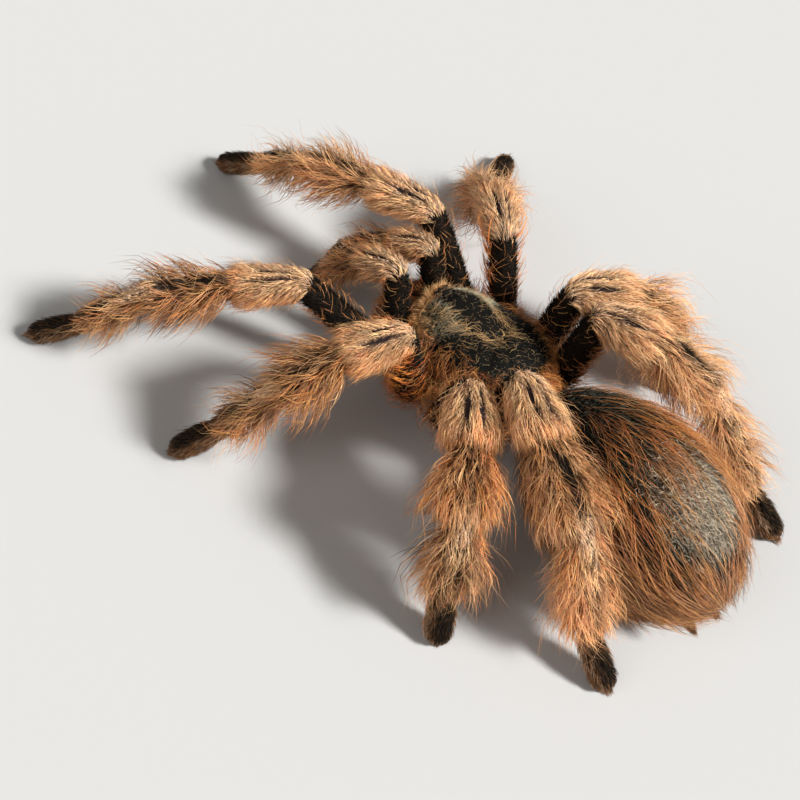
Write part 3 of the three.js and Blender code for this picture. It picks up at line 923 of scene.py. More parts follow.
class NodeKit:
    """Short ways to place and join shader nodes in one tree."""

    def __init__(self, tree: bpy.types.NodeTree) -> None:
        """Keeps the tree that the nodes go in."""
        self.tree = tree

    def add(self, kind: str) -> bpy.types.Node:
        """A new node of a kind."""
        return self.tree.nodes.new(kind)

    def join(self, source: object, target: Socket) -> None:
        """Links a socket to another, or sets a plain value on it."""
        if isinstance(source, Socket):
            self.tree.links.new(source, target)
        else:
            target.default_value = source

    def fill(self, node: bpy.types.Node, values: dict[str, object]) -> None:
        """Sets or links a node's inputs by their names; a colour gets its fourth number here."""
        for name, value in values.items():
            self.join((*value, 1.0) if isinstance(value, tuple) else value, node.inputs[name])

    def group(self, tree: bpy.types.NodeTree, values: dict[str, object]) -> bpy.types.Node:
        """A node group at work, with its inputs set by their names."""
        node = self.add("ShaderNodeGroup")
        node.node_tree = tree
        self.fill(node, values)
        return node

    def pit(self, shader: bpy.types.Node, height: Socket, strength: float) -> None:
        """Dents a shader's surface by a height."""
        bump = self.add("ShaderNodeBump")
        self.fill(bump, {"Strength": strength, "Distance": PIT_DEPTH, "Height": height})
        self.join(bump.outputs["Normal"], shader.inputs["Normal"])

    def math(self, operation: str, first: object, second: object) -> Socket:
        """The result of a sum on two values."""
        node = self.add("ShaderNodeMath")
        node.operation = operation
        self.join(first, node.inputs[0])
        self.join(second, node.inputs[1])
        return node.outputs[0]

    def mix(self, factor: object, first: object, second: object) -> Socket:
        """A colour between two, by a factor."""
        node = self.add("ShaderNodeMix")
        node.data_type = "RGBA"
        self.join(factor, node.inputs["Factor"])
        self.join(first, node.inputs[6])
        self.join(second, node.inputs[7])
        return node.outputs[2]

    def attribute(self, name: str) -> Socket:
        """Three stored numbers as a colour."""
        node = self.add("ShaderNodeAttribute")
        node.attribute_name = name
        return node.outputs["Color"]

    def split(self, colour: Socket) -> list[Socket]:
        """A colour's three channels."""
        node = self.add("ShaderNodeSeparateColor")
        self.join(colour, node.inputs[0])
        return list(node.outputs)

    def noise(self, place: Socket, scale: object, detail: float) -> Socket:
        """Noise at a scale, as one value."""
        node = self.add("ShaderNodeTexNoise")
        node.inputs["Detail"].default_value = detail
        self.join(place, node.inputs["Vector"])
        self.join(scale, node.inputs["Scale"])
        return node.outputs["Fac"]


def new_material(name: str) -> tuple[Material, NodeKit, bpy.types.Node]:
    """An empty material with its main shader.

    Args:
        name: The material's name.

    Returns:
        The material, a kit for its tree, and its Principled node.
    """
    material = bpy.data.materials.new(name)
    material.use_nodes = True
    kit = NodeKit(material.node_tree)
    shader = material.node_tree.nodes["Principled BSDF"]
    return material, kit, shader


@dataclass(frozen=True)
class HairFinish:
    """The look of one kind of coat."""

    name: str
    # The root colour is painted shade: each hair darkens toward its base, deep in the coat.
    root: Colour
    tip: Colour
    pale: Colour
    dark: Colour
    rust: Colour
    chance: float = 1.7
    # How much painted shade darkens each hair toward its root.
    shade: float = 0.25
    roughness: float = 0.38
    sheen: float = 0.05
    gloss: float = 0.5

    def material(self) -> Material:
        """The finish as a material."""
        material, kit, shader = new_material(self.name)
        colours = {"Root": self.root, "Tip": self.tip, "Pale": self.pale, "Dark": self.dark, "Rust": self.rust}
        group = kit.group(shade_group(), {**colours, "Chance": self.chance, "Shade": self.shade})
        looks = {
            "Base Color": group.outputs["Color"],
            "Roughness": self.roughness,
            "Specular IOR Level": self.gloss,
            "Sheen Weight": self.sheen,
            "Sheen Roughness": 0.45,
            "Sheen Tint": self.pale,
        }
        kit.fill(shader, looks)
        return material


def mottled(
    look: "SkinFinish | HornFinish",
) -> tuple[Material, NodeKit, bpy.types.Node, bpy.types.Node]:
    """Starts a material whose colour is mottled.

    Args:
        look: The finish, with its name, two colours, scale and fineness.

    Returns:
        The material, a kit for its tree, its Principled node, and the mottle group's node.
    """
    material, kit, shader = new_material(look.name)
    values = {"First": look.first, "Second": look.second, "Scale": look.scale, "Fineness": look.fineness}
    return material, kit, shader, kit.group(mottle_group(), values)


@dataclass(frozen=True)
class SkinFinish:
    """The skin under the coat: brown-black, pale at the knees, bare in their stripes, rusty at the sides."""

    name: str = "skin"
    first: Colour = (0.010, 0.007, 0.005)
    second: Colour = (0.028, 0.018, 0.011)
    pale: Colour = (0.40, 0.23, 0.12)
    bare: Colour = (0.020, 0.012, 0.012)
    rust: Colour = (0.16, 0.055, 0.02)
    scale: float = 300.0
    fineness: float = 2600.0
    roughness: float = 0.75
    gloss: float = 0.1
    bump: float = 0.35

    def material(self) -> Material:
        """The finish as a material."""
        material, kit, shader, group = mottled(self)
        marks = kit.split(kit.attribute("marks"))
        pale = kit.mix(marks[PALE], group.outputs["Color"], (*self.pale, 1.0))
        rust = kit.mix(marks[RUST], pale, (*self.rust, 1.0))
        bare = kit.mix(marks[DARK], rust, (*self.bare, 1.0))
        kit.fill(shader, {"Base Color": bare, "Roughness": self.roughness, "Specular IOR Level": self.gloss})
        kit.pit(shader, group.outputs["Height"], self.bump)
        return material


@dataclass(frozen=True)
class HornFinish:
    """Hard shell: the carapace, the jaws, the fangs, the claws and the eyes."""

    name: str
    first: Colour
    second: Colour
    roughness: float
    coat: float = 0.0
    gloss: float = 0.5
    scale: float = 400.0
    fineness: float = 3000.0
    bump: float = 0.3

    def material(self) -> Material:
        """The finish as a material."""
        material, kit, shader, group = mottled(self)
        looks = {
            "Base Color": group.outputs["Color"],
            "Roughness": self.roughness,
            "Specular IOR Level": self.gloss,
            "Coat Weight": self.coat,
            "Coat Roughness": 0.05,
        }
        kit.fill(shader, looks)
        if self.bump > 0:
            kit.pit(shader, group.outputs["Height"], self.bump)
        return material


LEG_COAT = HairFinish(
    "leg_coat",
    root=(0.20, 0.066, 0.018),
    tip=(0.96, 0.42, 0.145),
    pale=(1.0, 0.64, 0.34),
    dark=(0.035, 0.02, 0.009),
    rust=(0.86, 0.27, 0.05),
)
LEG_VELVET = HairFinish(
    "leg_velvet",
    root=(0.03, 0.017, 0.009),
    tip=(0.12, 0.06, 0.028),
    pale=(1.0, 0.70, 0.47),
    dark=(0.012, 0.010, 0.007),
    rust=(0.34, 0.13, 0.035),
    chance=0.8,
    roughness=0.5,
    sheen=0.0,
    gloss=0.12,
)
ABDOMEN_COAT = HairFinish(
    "abdomen_coat",
    root=(0.10, 0.03, 0.009),
    tip=(0.80, 0.33, 0.10),
    pale=(1.0, 0.63, 0.34),
    dark=(0.03, 0.025, 0.016),
    rust=(0.82, 0.23, 0.036),
)
ABDOMEN_VELVET = HairFinish(
    "abdomen_velvet",
    root=(0.010, 0.010, 0.007),
    tip=(0.034, 0.034, 0.022),
    pale=(0.82, 0.69, 0.52),
    dark=(0.012, 0.012, 0.01),
    rust=(0.18, 0.07, 0.022),
    roughness=0.5,
    sheen=0.0,
    gloss=0.12,
)
HEAD_COAT = HairFinish(
    "head_coat",
    root=(0.08, 0.035, 0.015),
    tip=(0.40, 0.21, 0.09),
    pale=(1.0, 0.63, 0.29),
    dark=(0.008, 0.008, 0.007),
    rust=(0.74, 0.25, 0.05),
)
HEAD_VELVET = HairFinish(
    "head_velvet",
    root=(0.012, 0.011, 0.009),
    tip=(0.44, 0.40, 0.27),
    pale=(0.60, 0.46, 0.28),
    dark=(0.007, 0.007, 0.006),
    rust=(0.5, 0.16, 0.04),
    chance=0.8,
    sheen=0.0,
    gloss=0.16,
    roughness=0.4,
)
CARAPACE_SHELL = HornFinish(
    "carapace_shell", (0.004, 0.004, 0.003), (0.014, 0.013, 0.010), 0.7, gloss=0.08, bump=0.8
)
JAW_SHELL = HornFinish("jaw_shell", (0.04, 0.03, 0.022), (0.07, 0.055, 0.04), 0.5, gloss=0.3)
FANG_HORN = HornFinish(
    "fang_horn",
    (0.008, 0.005, 0.004),
    (0.03, 0.01, 0.006),
    0.18,
    coat=0.5,
    scale=250.0,
    fineness=1500.0,
    bump=0.05,
)
EYE_LENS = HornFinish(
    "eye_lens", (0.002, 0.002, 0.002), (0.006, 0.004, 0.003), 0.12, scale=300.0, fineness=1000.0, bump=0.0
)


# ---- legs and palps ----------------------------------------------------------------------------


@dataclass(frozen=True)
class KneeStripes:
    """The two bare stripes along the back of each patella: lens shapes either side of its middle."""

    angle: float = 0.36
    half_width: float = 0.2
    start: float = 0.03
    end: float = 0.78

    def mask(self, part: Array, b: Array) -> Array:
        """1 on a stripe: where the angle from it is under its width times sin(pi t)^0.6."""
        t = np.clip((part - self.start) / (self.end - self.start), 0, 1)
        wide = self.half_width * np.sin(math.pi * t) ** 0.6
        near = np.abs(off_top(b) - (self.angle + 0.1 * (t - 0.4)))
        inside = (part > self.start) & (part < self.end)
        return ramp(0.0, 0.035, wide - near) * inside


STRIPES = KneeStripes()


def wrap(b: Array) -> Array:
    """An angle brought to between minus and plus a half turn."""
    return (np.asarray(b) + math.pi) % (2 * math.pi) - math.pi


def off_top(b: Array) -> Array:
    """How far round from the top an angle is, either way."""
    return np.abs(wrap(b))


def back_stripe(part: Array, b: Array, start: Array | float) -> Array:
    """1 on the dark stripe along the back of a piece, from its start to before its far joint."""
    return ramp(0.46, 0.24, off_top(b)) * ramp(0.0, 0.1, part - start) * ramp(0.84, 0.66, part)


@dataclass(frozen=True)
class Traits:
    """What is one limb's own; stripe and the dark tufts, partly painted shade, are for its tibia, then its
    metatarsus; the paler share is painted light.
    """

    stripe: Pair = (0.5, 0.5)
    # Dark tufts on the tibia and then the metatarsus, partly painted shade.
    dark_tufts_and_shade: Pair = (0.2, 0.2)
    fullness: float = 1.0
    # Painted light: how much paler the coat is on a limb that stands in brighter light.
    painted_light: float = 0.0
    wild: float = 0.2
    slender: float = 0.0
    rusty_femur: float = 0.0


# The paler shares are painted light; the dark tufts are partly painted shade, most of all on the third left
# metatarsus.
TRAITS = {
    "palp_left": Traits(dark_tufts_and_shade=(0.5, 0.5), fullness=0.9),
    "palp_right": Traits(dark_tufts_and_shade=(0.5, 0.5), fullness=0.9),
    "leg_left_1": Traits((0.9, 0.9), (0.75, 0.6), wild=0.7, slender=1.0),
    "leg_left_2": Traits((0.6, 0.7), (0.75, 0.7), 1.12, wild=1.0, slender=1.0, rusty_femur=1.0),
    "leg_left_3": Traits((0.25, 0.2), (0.25, 0.9), 1.12),
    "leg_left_4": Traits((1.0, 0.3), (0.55, 0.0), 1.12, 0.25),
    "leg_right_1": Traits((0.9, 0.9), painted_light=0.4, wild=0.9, slender=1.0),
    "leg_right_2": Traits((0.6, 0.7), painted_light=0.45, wild=1.2, slender=1.0, rusty_femur=1.0),
    "leg_right_3": Traits((0.25, 0.2), painted_light=0.35),
    "leg_right_4": Traits((1.0, 0.3), painted_light=0.65),
}


@dataclass
class LimbCoat:
    """The coat of one limb: velvet all over, then the long hair of each piece."""

    limb: Limb
    seed: int
    usual_girth: float = 5.4
    stripe_start: float = 0.3
    velvet: Pelt = Pelt(7.0, 1, 1.0, 0.21, (36, 36), 0.1, 0.0, 14, 0, 1)
    femur_long: Pelt = Pelt(0.55, 1, 4.0, 0.08, (66, -22), 0.2, 0.0, 17, 18, 4)
    femur_fringe: Pelt = Pelt(0.8, 3, 3.8, 0.13, (34, 10), 0.5, 0.5, 14, 14, 3)
    patella: Pelt = Pelt(1.8, 4, 4.9, 0.115, (50, -4), 0.4, 0.5, 6, 10, 2)
    bush: Pelt = Pelt(0.92, 4, 6.9, 0.14, (54, 9), 0.5, 0.6, 9, 10, 3)
    under_bush: Pelt = Pelt(0.9, 3, 3.6, 0.16, (36, 16), 0.45, 0.5, 10, 8, 2)
    stray_hair: Pelt = Pelt(1.6, 1, 7.6, 0.06, (62, 30), 0.2, 0.0, 12, 16, 3)
    tarsus: Pelt = Pelt(2.6, 3, 2.0, 0.13, (26, 8), 0.4, 0.45, 7, 8, 2)
    claw_tuft: Pelt = Pelt(5.0, 3, 1.9, 0.14, (14, 0), 0.35, 0.4, 12, 10, 3)

    def __post_init__(self) -> None:
        """Looks up this limb's traits and starts its own run of chance."""
        self.own = TRAITS[self.limb.name]
        self.rng = np.random.default_rng(SEED + self.seed)

    def fitted(self, pelt: Pelt) -> Pelt:
        """The same kind of hair, to the measure of this limb's own girth."""
        girth = self.limb.radii[2] / self.usual_girth
        return replace(pelt, tufts=pelt.tufts * self.own.fullness, length=pelt.length * girth)

    def grow_velvet(self) -> Sheaf:
        """Short close hair all over, black on the femur, tan at the knee, dark elsewhere."""
        limb = self.limb
        knee_from, bare_from, bare_to = (limb.span(p)[0] for p in (Piece.PATELLA, Piece.TIBIA, Piece.TARSUS))

        def where(a: Array, b: Array) -> Array:
            hidden = (a > bare_from) & (a < bare_to) & (off_top(b) > 0.8)
            knee = (a > knee_from) & (a < bare_from)
            return (1 - self.stripes(a, b)) * np.where(hidden, 0.2, np.where(knee, 0.55, 0.9))

        pelt = replace(self.velvet, tufts=self.velvet.tufts * self.own.fullness)
        patch = sown(self.limb.tube, pelt, (-2.0, limb.ends[-1]), self.rng, where)
        index, part = limb.part(patch.a + 1.2 * (patch.a < limb.span(Piece.PATELLA)[1]))
        piece = np.array([LEG_PIECES.index(p) for p in limb.pieces])[index]
        femur, patella, tibia, metatarsus = (piece == number for number in range(4))
        crest = ramp(1.3, 0.6, off_top(patch.b))
        joint = np.where(tibia, ramp(0.72, 0.92, part), 0.0) + np.where(metatarsus, ramp(0.2, 0.06, part), 0.0)
        patch.marks[:, PALE] = np.clip(np.where(patella, 0.8, 0.0) + 1.2 * crest * joint, 0, 1)
        strength = np.where(tibia, self.own.stripe[0], np.where(metatarsus, self.own.stripe[1], 0.0))
        stripe = strength * back_stripe(part, patch.b, np.where(metatarsus, self.stripe_start, 0.0))
        patch.marks[:, DARK] = np.where(femur, 1.0, 0.0) + stripe
        return grow(limb.tube, pelt, patch, self.rng)

    def stripes(self, a: Array, b: Array) -> Array:
        """1 on the bare stripes of the patella."""
        return STRIPES.mask(self.limb.share(Piece.PATELLA, a), b)

    def grow_femur(self) -> Sheaf:
        """Long curling hairs that arch over the femur's velvet, most of them in two rows on its back."""
        low, high = self.limb.span(Piece.FEMUR)
        pelt = self.fitted(self.femur_long)

        def rows(a: Array, b: Array) -> Array:
            return 0.4 + 0.9 * np.exp(-(((off_top(b) - 0.5) / 0.14) ** 2))

        denser = replace(pelt, tufts=1.3 * pelt.tufts)
        patch = sown(self.limb.tube, denser, (low, high - 1.5), self.rng, rows)
        patch.lie += self.rng.normal(size=len(patch.a)) * 0.35
        patch.marks[:, PALE] = 0.5 * patch.dice(self.rng)
        patch.marks[:, RUST] = 0.6 * patch.dice(self.rng)
        return grow(self.limb.tube, pelt, patch, self.rng)

    def grow_fringe(self) -> Sheaf:
        """Longer hair under the femur and round its root."""
        low, high = self.limb.span(Piece.FEMUR)
        pelt = self.fitted(self.femur_fringe)

        def under(a: Array, b: Array) -> Array:
            below = ramp(1.7, 2.5, off_top(b))
            root = 0.7 * ramp(0.22, 0.0, self.limb.share(Piece.FEMUR, a))
            rusty = self.own.rusty_femur * ramp(1.1, 1.6, off_top(b))
            return np.clip(below + root + rusty, 0, 1)

        patch = sown(self.limb.tube, pelt, (low - 2, high - 0.5), self.rng, under)
        part = self.limb.share(Piece.FEMUR, patch.a)
        patch.marks[:, RUST] = np.clip(0.35 + 0.45 * self.own.rusty_femur, 0, 1)
        patch.marks[:, DARK] = 0.6 * (1 - self.own.rusty_femur) * patch.dice(self.rng)
        patch.stretch = 0.75 + 0.5 * part + 0.3 * self.own.rusty_femur
        return grow(self.limb.tube, pelt, patch, self.rng)

    def grow_patella(self) -> Sheaf:
        """Pale hair that fans from the knee's top, parts at two bare stripes and bells out.

        A tuft whose middle or tip would cover a stripe is cut short.
        """
        low, high = self.limb.span(Piece.PATELLA)
        pelt = self.fitted(self.patella)

        def where(a: Array, b: Array) -> Array:
            return 1 - self.stripes(a + 0.3, b)

        patch = sown(self.limb.tube, pelt, (low - 1.7, high - 0.3), self.rng, where)
        part = self.limb.share(Piece.PATELLA, patch.a)
        radius = self.limb.tube.grain(patch.a, patch.b)[1]
        side = off_top(patch.b)
        fan = np.arctan2(radius * np.sin(wrap(patch.b) / 1.6), np.maximum(patch.a - low, -1.0) + 2.4)
        fan *= ramp(0.28, 0.7, side)
        patch.lie = 0.85 * fan * ramp(1.0, 0.35, part)
        patch.stretch = 0.55 + 0.6 * ramp(0.0, 0.7, part) + 0.2 * ramp(0.7, 1.6, side)
        for reach in (0.4, 0.75, 1.0):
            step = reach * pelt.length * patch.stretch * 0.9
            ahead = patch.a + step * np.cos(patch.lie)
            aside = patch.b + step * np.sin(patch.lie) / radius
            patch.stretch *= 1 - 0.8 * self.stripes(ahead, aside)
        patch.stretch = self.cut(patch, pelt, high + 0.9)
        patch.raise_by = -20 * ramp(0.95, 0.35, side) * ramp(1.0, 0.6, part)
        # The paler share added here is painted light.
        pale = 1.1 - 0.6 * ramp(0.3, 0.95, part) - 0.5 * ramp(0.8, 1.8, side) + self.own.painted_light
        patch.marks[:, PALE] = np.clip(pale * (0.6 + 0.6 * patch.dice(self.rng)), 0, 1)
        outer = np.maximum(ramp(0.6, 1.6, side), ramp(0.3, 0.8, part))
        patch.marks[:, RUST] = 0.5 * patch.dice(self.rng) ** 2 * outer
        return grow(self.limb.tube, pelt, patch, self.rng)

    def cut(self, patch: Patch, pelt: Pelt, end: float) -> Array:
        """The tufts' stretch, cut so that no tuft reaches past a place along the limb."""
        room = np.maximum(end - patch.a, 0.2 * pelt.length) / pelt.length
        return np.minimum(patch.stretch, room * (0.85 + 0.2 * patch.dice(self.rng)))

    def grow_bush(self, piece: Piece, pelt: Pelt, dark: float) -> Sheaf:
        """Flaring hair over one piece: widest past its middle, close at its end, where it is pale.

        Args:
            piece: The piece of the limb.
            pelt: The kind of hair.
            dark: How strong the dark stripe down its back is, from 0 to 1.

        Returns:
            The hairs.
        """
        low, high = self.limb.span(piece)
        pelt = self.fitted(pelt)
        last = piece is Piece.METATARSUS or Piece.METATARSUS not in self.limb.pieces
        start = self.stripe_start if piece is Piece.METATARSUS else 0.0

        def where(a: Array, b: Array) -> Array:
            stripe = back_stripe(self.limb.share(piece, a), b, start)
            return (1 - 0.8 * max(dark, 0.15) * stripe) * np.where(a > high - 2.2 * last, 0.4, 1.0)

        patch = sown(self.limb.tube, pelt, (low - 0.3, high - 0.4), self.rng, where)
        part = self.limb.share(piece, patch.a)
        side = off_top(patch.b)
        patch.stretch = (0.74 + 0.34 * ramp(0.0, 0.35, part)) * (0.78 + 0.3 * ramp(0.4, 1.3, side))
        taper = self.own.slender * (piece is Piece.METATARSUS) * ramp(0.0, 0.9, part)
        patch.stretch = self.cut(patch, pelt, high + (0.2 if last else 1.6)) * (1 - 0.45 * taper)
        patch.raise_by = -20 * ramp(0.9, 0.2, side) + 4 * ramp(0.7, 1.4, side) - 16 * ramp(0.6, 1.0, part)
        patch.raise_by += 9 * self.own.wild * ramp(0.3, 0.9, side) - 12 * taper
        patch.stretch *= 1 + 0.12 * self.own.wild
        crest = ramp(1.1, 0.4, side)
        joint = ramp(0.62, 0.85, part) if piece is Piece.TIBIA else ramp(0.42, 0.15, part)
        patch.stretch *= 1 - 0.25 * crest * joint
        patch.raise_by -= 14 * crest * joint
        # The paler share added here is painted light.
        pale = 1.4 * crest * joint + self.own.painted_light + 0.6 * patch.dice(self.rng) ** 2
        patch.marks[:, PALE] = np.clip(pale, 0, 1)
        # Dark: the stripe down the back and dark tufts underneath, then the limb's dark tufts, which are
        # partly painted shade.
        dark_marks_and_shade = dark * back_stripe(part, patch.b, start) + 0.5 * ramp(1.8, 2.7, side) * patch.dice(self.rng)
        dark_tufts_and_shade = self.own.dark_tufts_and_shade[piece is Piece.METATARSUS]
        dark_marks_and_shade += dark_tufts_and_shade * (1 - 0.7 * crest * joint) * patch.dice(self.rng) ** 1.3
        patch.marks[:, DARK] = np.clip(dark_marks_and_shade, 0, 1)
        patch.marks[:, RUST] = 0.65 * patch.dice(self.rng) * ramp(0.3, 1.4, side)
        return grow(self.limb.tube, pelt, patch, self.rng)

    def grow_strays(self, piece: Piece, share: float) -> Sheaf:
        """Single fine hairs that stand out beyond the rest.

        Args:
            piece: The piece of the limb.
            share: Their length, as a part of the longest ones'.

        Returns:
            The hairs.
        """
        low, high = self.limb.span(piece)
        pelt = self.fitted(self.stray_hair)

        def where(a: Array, b: Array) -> Array:
            return 0.3 + 0.7 * ramp(0.5, 1.1, off_top(b))

        patch = sown(self.limb.tube, pelt, (low, high - 2.0), self.rng, where)
        patch.marks[:, PALE] = 0.3 + 0.4 * patch.dice(self.rng)
        patch.stretch = share * (0.6 + 0.55 * patch.dice(self.rng))
        patch.stretch = self.cut(patch, pelt, high + 2.5)
        return grow(self.limb.tube, pelt, patch, self.rng)

    def grow_tarsus(self) -> Sheaf:
        """Short close hair on the tarsus: black along its back, golden brown at its sides."""
        low, high = self.limb.span(Piece.TARSUS)
        pelt = self.fitted(self.tarsus)
        patch = sown(self.limb.tube, pelt, (low - 0.8, high - 0.6), self.rng)
        part = self.limb.share(Piece.TARSUS, patch.a)
        side = off_top(patch.b)
        patch.stretch = 1.2 - 0.35 * ramp(0.2, 0.8, part)
        top = ramp(1.05, 0.6, side) * ramp(1.0, 0.78, part)
        patch.marks[:, PALE] = (1 - top) * (0.12 + 0.42 * patch.dice(self.rng) ** 1.5)
        dark = top + 0.5 * ramp(2.0, 2.6, side) + 0.1 * self.rng.normal(size=len(part))
        patch.marks[:, DARK] = np.clip(dark, 0, 1)
        patch.marks[:, RUST] = (1 - top) * patch.dice(self.rng)
        return grow(self.limb.tube, pelt, patch, self.rng)

    def grow_claw_tuft(self) -> Sheaf:
        """The golden-brown tuft that hides the claws."""
        high = float(self.limb.ends[-1])
        patch = sown(self.limb.tube, self.claw_tuft, (high - 1.6, high - 0.2), self.rng)
        patch.marks[:, PALE] = 0.2 + 0.4 * patch.dice(self.rng)
        patch.marks[:, RUST] = 0.3 + 0.5 * patch.dice(self.rng)
        return grow(self.limb.tube, self.claw_tuft, patch, self.rng)

    def dress(self, velvet_look: Material, coat_look: Material) -> None:
        """Grows the limb's long hair and its velvet and makes the two coat pieces.

        Args:
            velvet_look: The velvet's material.
            coat_look: The long hair's material.
        """
        coat = [self.grow_femur(), self.grow_fringe(), self.grow_patella()]
        for piece, dark in zip((Piece.TIBIA, Piece.METATARSUS), self.own.stripe):
            if piece in self.limb.pieces:
                coat += [self.grow_bush(piece, self.bush, dark), self.grow_bush(piece, self.under_bush, dark)]
                coat.append(self.grow_strays(piece, 1.0))
        coat.append(self.grow_strays(Piece.PATELLA, 0.6))
        velvet = [self.grow_velvet(), self.grow_tarsus(), self.grow_claw_tuft()]
        Sheaf.joined(velvet).put(f"velvet_{self.limb.name}", velvet_look, Slot.BROWN_HAIR)
        Sheaf.joined(coat).put(f"coat_{self.limb.name}", coat_look, Slot.TAN_HAIR)


@dataclass(frozen=True)
class Claws:
    """The two small hooked claws at the tip of each limb, half hidden in their tuft."""

    length: float = 1.5
    thickness: float = 0.17
    spread: float = 0.45
    hook: float = 1.0

    def claw(self, limb: Limb, lean: float) -> Tube:
        """One claw: straight on from the tip, then hooked down by the square of the way along.

        Args:
            limb: The limb that it ends.
            lean: How far to its side it stands, from -1 to 1.

        Returns:
            The claw's tube.
        """
        tube = limb.tube
        t = np.linspace(0.0, 1.0, 7)[:, None]
        forward = unit(tube.path[-4] - tube.path[-12])
        start = tube.path[-4] + 0.35 * tube.up[-4]
        bow = 0.5 * t - self.hook * t**2
        path = start + self.length * t * forward + bow * tube.up[-4]
        path += lean * self.spread * (0.5 + t) * tube.side[-4]
        radius = self.thickness * (1 - 0.85 * t[:, 0])
        path[:, 2] = np.maximum(path[:, 2], radius + 0.1)
        return ringed_tube(path, radius, radius, UP)

    def dress(self, limbs: list[Limb], look: Material) -> None:
        """Makes all the claws as one piece.

        Args:
            limbs: The limbs that have claws.
            look: The horn's material.
        """
        claws = [self.claw(limb, lean).shell(12, 10, 0.01) for limb in limbs for lean in (-1.0, 1.0)]
        Sheaf.joined(claws).put("claws", look, Slot.DARK_FANG, False)


# ---- rear body ---------------------------------------------------------------------------------


@dataclass
class Abdomen(Surface):
    """The egg of the abdomen; a runs from its front pole to its rear pole, b round it from its top."""

    length: float = 49.0
    width: float = 33.0
    height: float = 32.6
    swing: float = 11.0
    level: float = 15.9
    gap: float = 1.2
    pedicel_back: float = 14.0
    coat_depth: float = 1.7
    fuller_back: float = 0.09
    rounder_ends: float = 0.05
    velvet: Pelt = Pelt(4.5, 1, 1.7, 0.27, (24, 24), 0.1, 0.0, 16, 0, 1)
    long_hair: Pelt = Pelt(1.6, 2, 8.6, 0.1, (26, 0), 0.6, 0.35, 9, 11, 3)
    fringe: Pelt = Pelt(0.8, 3, 6.6, 0.12, (42, 24), 0.7, 0.5, 14, 14, 3)
    dust: Pelt = Pelt(10.0, 1, 1.9, 0.09, (56, 8), 0.1, 0.0, 50, 50, 2)

    def __post_init__(self) -> None:
        """Finds the middle of the egg behind the pedicel."""
        front = STANCE.on_body(-self.pedicel_back, 0.0, 0.0)
        back = heading_vector(180 - self.swing, 0.0, 1.0)
        self.middle = np.array([front[0], front[1], self.level]) + back * (self.length / 2 + self.gap)
        self.rng = np.random.default_rng(SEED + 50)

    def to_world(self, local: Array) -> Array:
        """Turns a place round the egg's middle by the swing and moves it there."""
        c, s = math.cos(math.radians(-self.swing)), math.sin(math.radians(-self.swing))
        turned = np.stack(
            [local[..., 0] * c - local[..., 1] * s, local[..., 0] * s + local[..., 1] * c, local[..., 2]],
            axis=-1,
        )
        return turned + self.middle

    def locate(self, world: Array) -> tuple[Array, Array, Array]:
        """Where a place is: along the egg, round it, and its level, which is 1 at the egg's full size."""
        c, s = math.cos(math.radians(self.swing)), math.sin(math.radians(self.swing))
        x, y, z = (world - self.middle).T
        across, back = (x * c - y * s) / (self.width / 2), (x * s + y * c) / (self.length / 2)
        up = z / (self.height / 2)
        level = np.sqrt(across**2 + back**2 + up**2)
        return np.arccos(np.clip(-back / np.maximum(level, 1e-6), -1, 1)), np.arctan2(across, up), level

    def point(self, a: Array, b: Array) -> Array:
        """Half sizes less the coat, times (sin a sin b, -cos a, sin a cos b), fuller toward the back."""
        back = -np.cos(a)
        full = 1 + self.fuller_back * back - self.rounder_ends * back**2
        local = np.stack(
            [
                (self.width / 2 - self.coat_depth) * full * np.sin(a) * np.sin(b),
                (self.length / 2 - self.coat_depth) * back,
                (self.height / 2 - self.coat_depth) * full * np.sin(a) * np.cos(b),
            ],
            axis=-1,
        )
        return self.to_world(local)

    def mirror_patch(self, a: Array, b: Array) -> Array:
        """1 in the worn patch at the top of the rear, an oval with a soft and uneven edge."""
        oval = ((a - 2.16) / 0.42) ** 2 + ((wrap(b) + 0.14) / 0.52) ** 2 + 0.45 * self.lumps(a, b)
        return 0.4 * ramp(3.4, 0.4, oval) + 0.55 * ramp(1.4, 0.1, oval)

    def lumps(self, a: Array, b: Array) -> Array:
        """Uneven places, from -1 to 1: sin(15a + 3 sin 6b) times sin(9b + 3 sin 8a)."""
        return np.sin(15 * a + 3 * np.sin(6 * b)) * np.sin(9 * b + 3 * np.sin(8 * a))

    def grow_velvet(self, span: Pair) -> Sheaf:
        """Black close hair, with the grey-green dusty hair of the worn patch."""
        patch = sown(self, self.velvet, (0.12, 3.02), self.rng, None, span)
        worn = self.mirror_patch(patch.a, patch.b)
        patch.marks[:, PALE] = worn * (0.28 + 0.35 * patch.dice(self.rng))
        patch.marks[:, RUST] = 0.9 * ramp(1.5, 2.4, off_top(patch.b)) * (1 - worn)
        return grow(self, self.velvet, patch, self.rng)

    def grow_long(self, span: Pair) -> Sheaf:
        """Long rust-orange hair that sweeps from the front over the sides to the rear."""

        def where(a: Array, b: Array) -> Array:
            top = ramp(1.5, 0.5, off_top(b))
            front = ramp(1.3, 0.6, a)
            return (1 - 0.68 * top) * (1 - 0.85 * self.mirror_patch(a, b)) * (1 - 0.45 * front * top)

        patch = sown(self, self.long_hair, (0.2, 2.85), self.rng, where, span)
        a, side = patch.a, wrap(patch.b)
        worn = self.mirror_patch(a, patch.b)
        patch.lie = 0.32 * np.sign(side) * ramp(0.1, 0.9, np.abs(side)) * ramp(2.6, 1.2, np.abs(side))
        patch.stretch = 0.8 + 0.3 * ramp(0.5, 1.4, a) - 0.25 * ramp(2.2, 2.9, a)
        patch.marks[:, PALE] = 0.35 * patch.dice(self.rng) ** 2 + 0.3 * worn
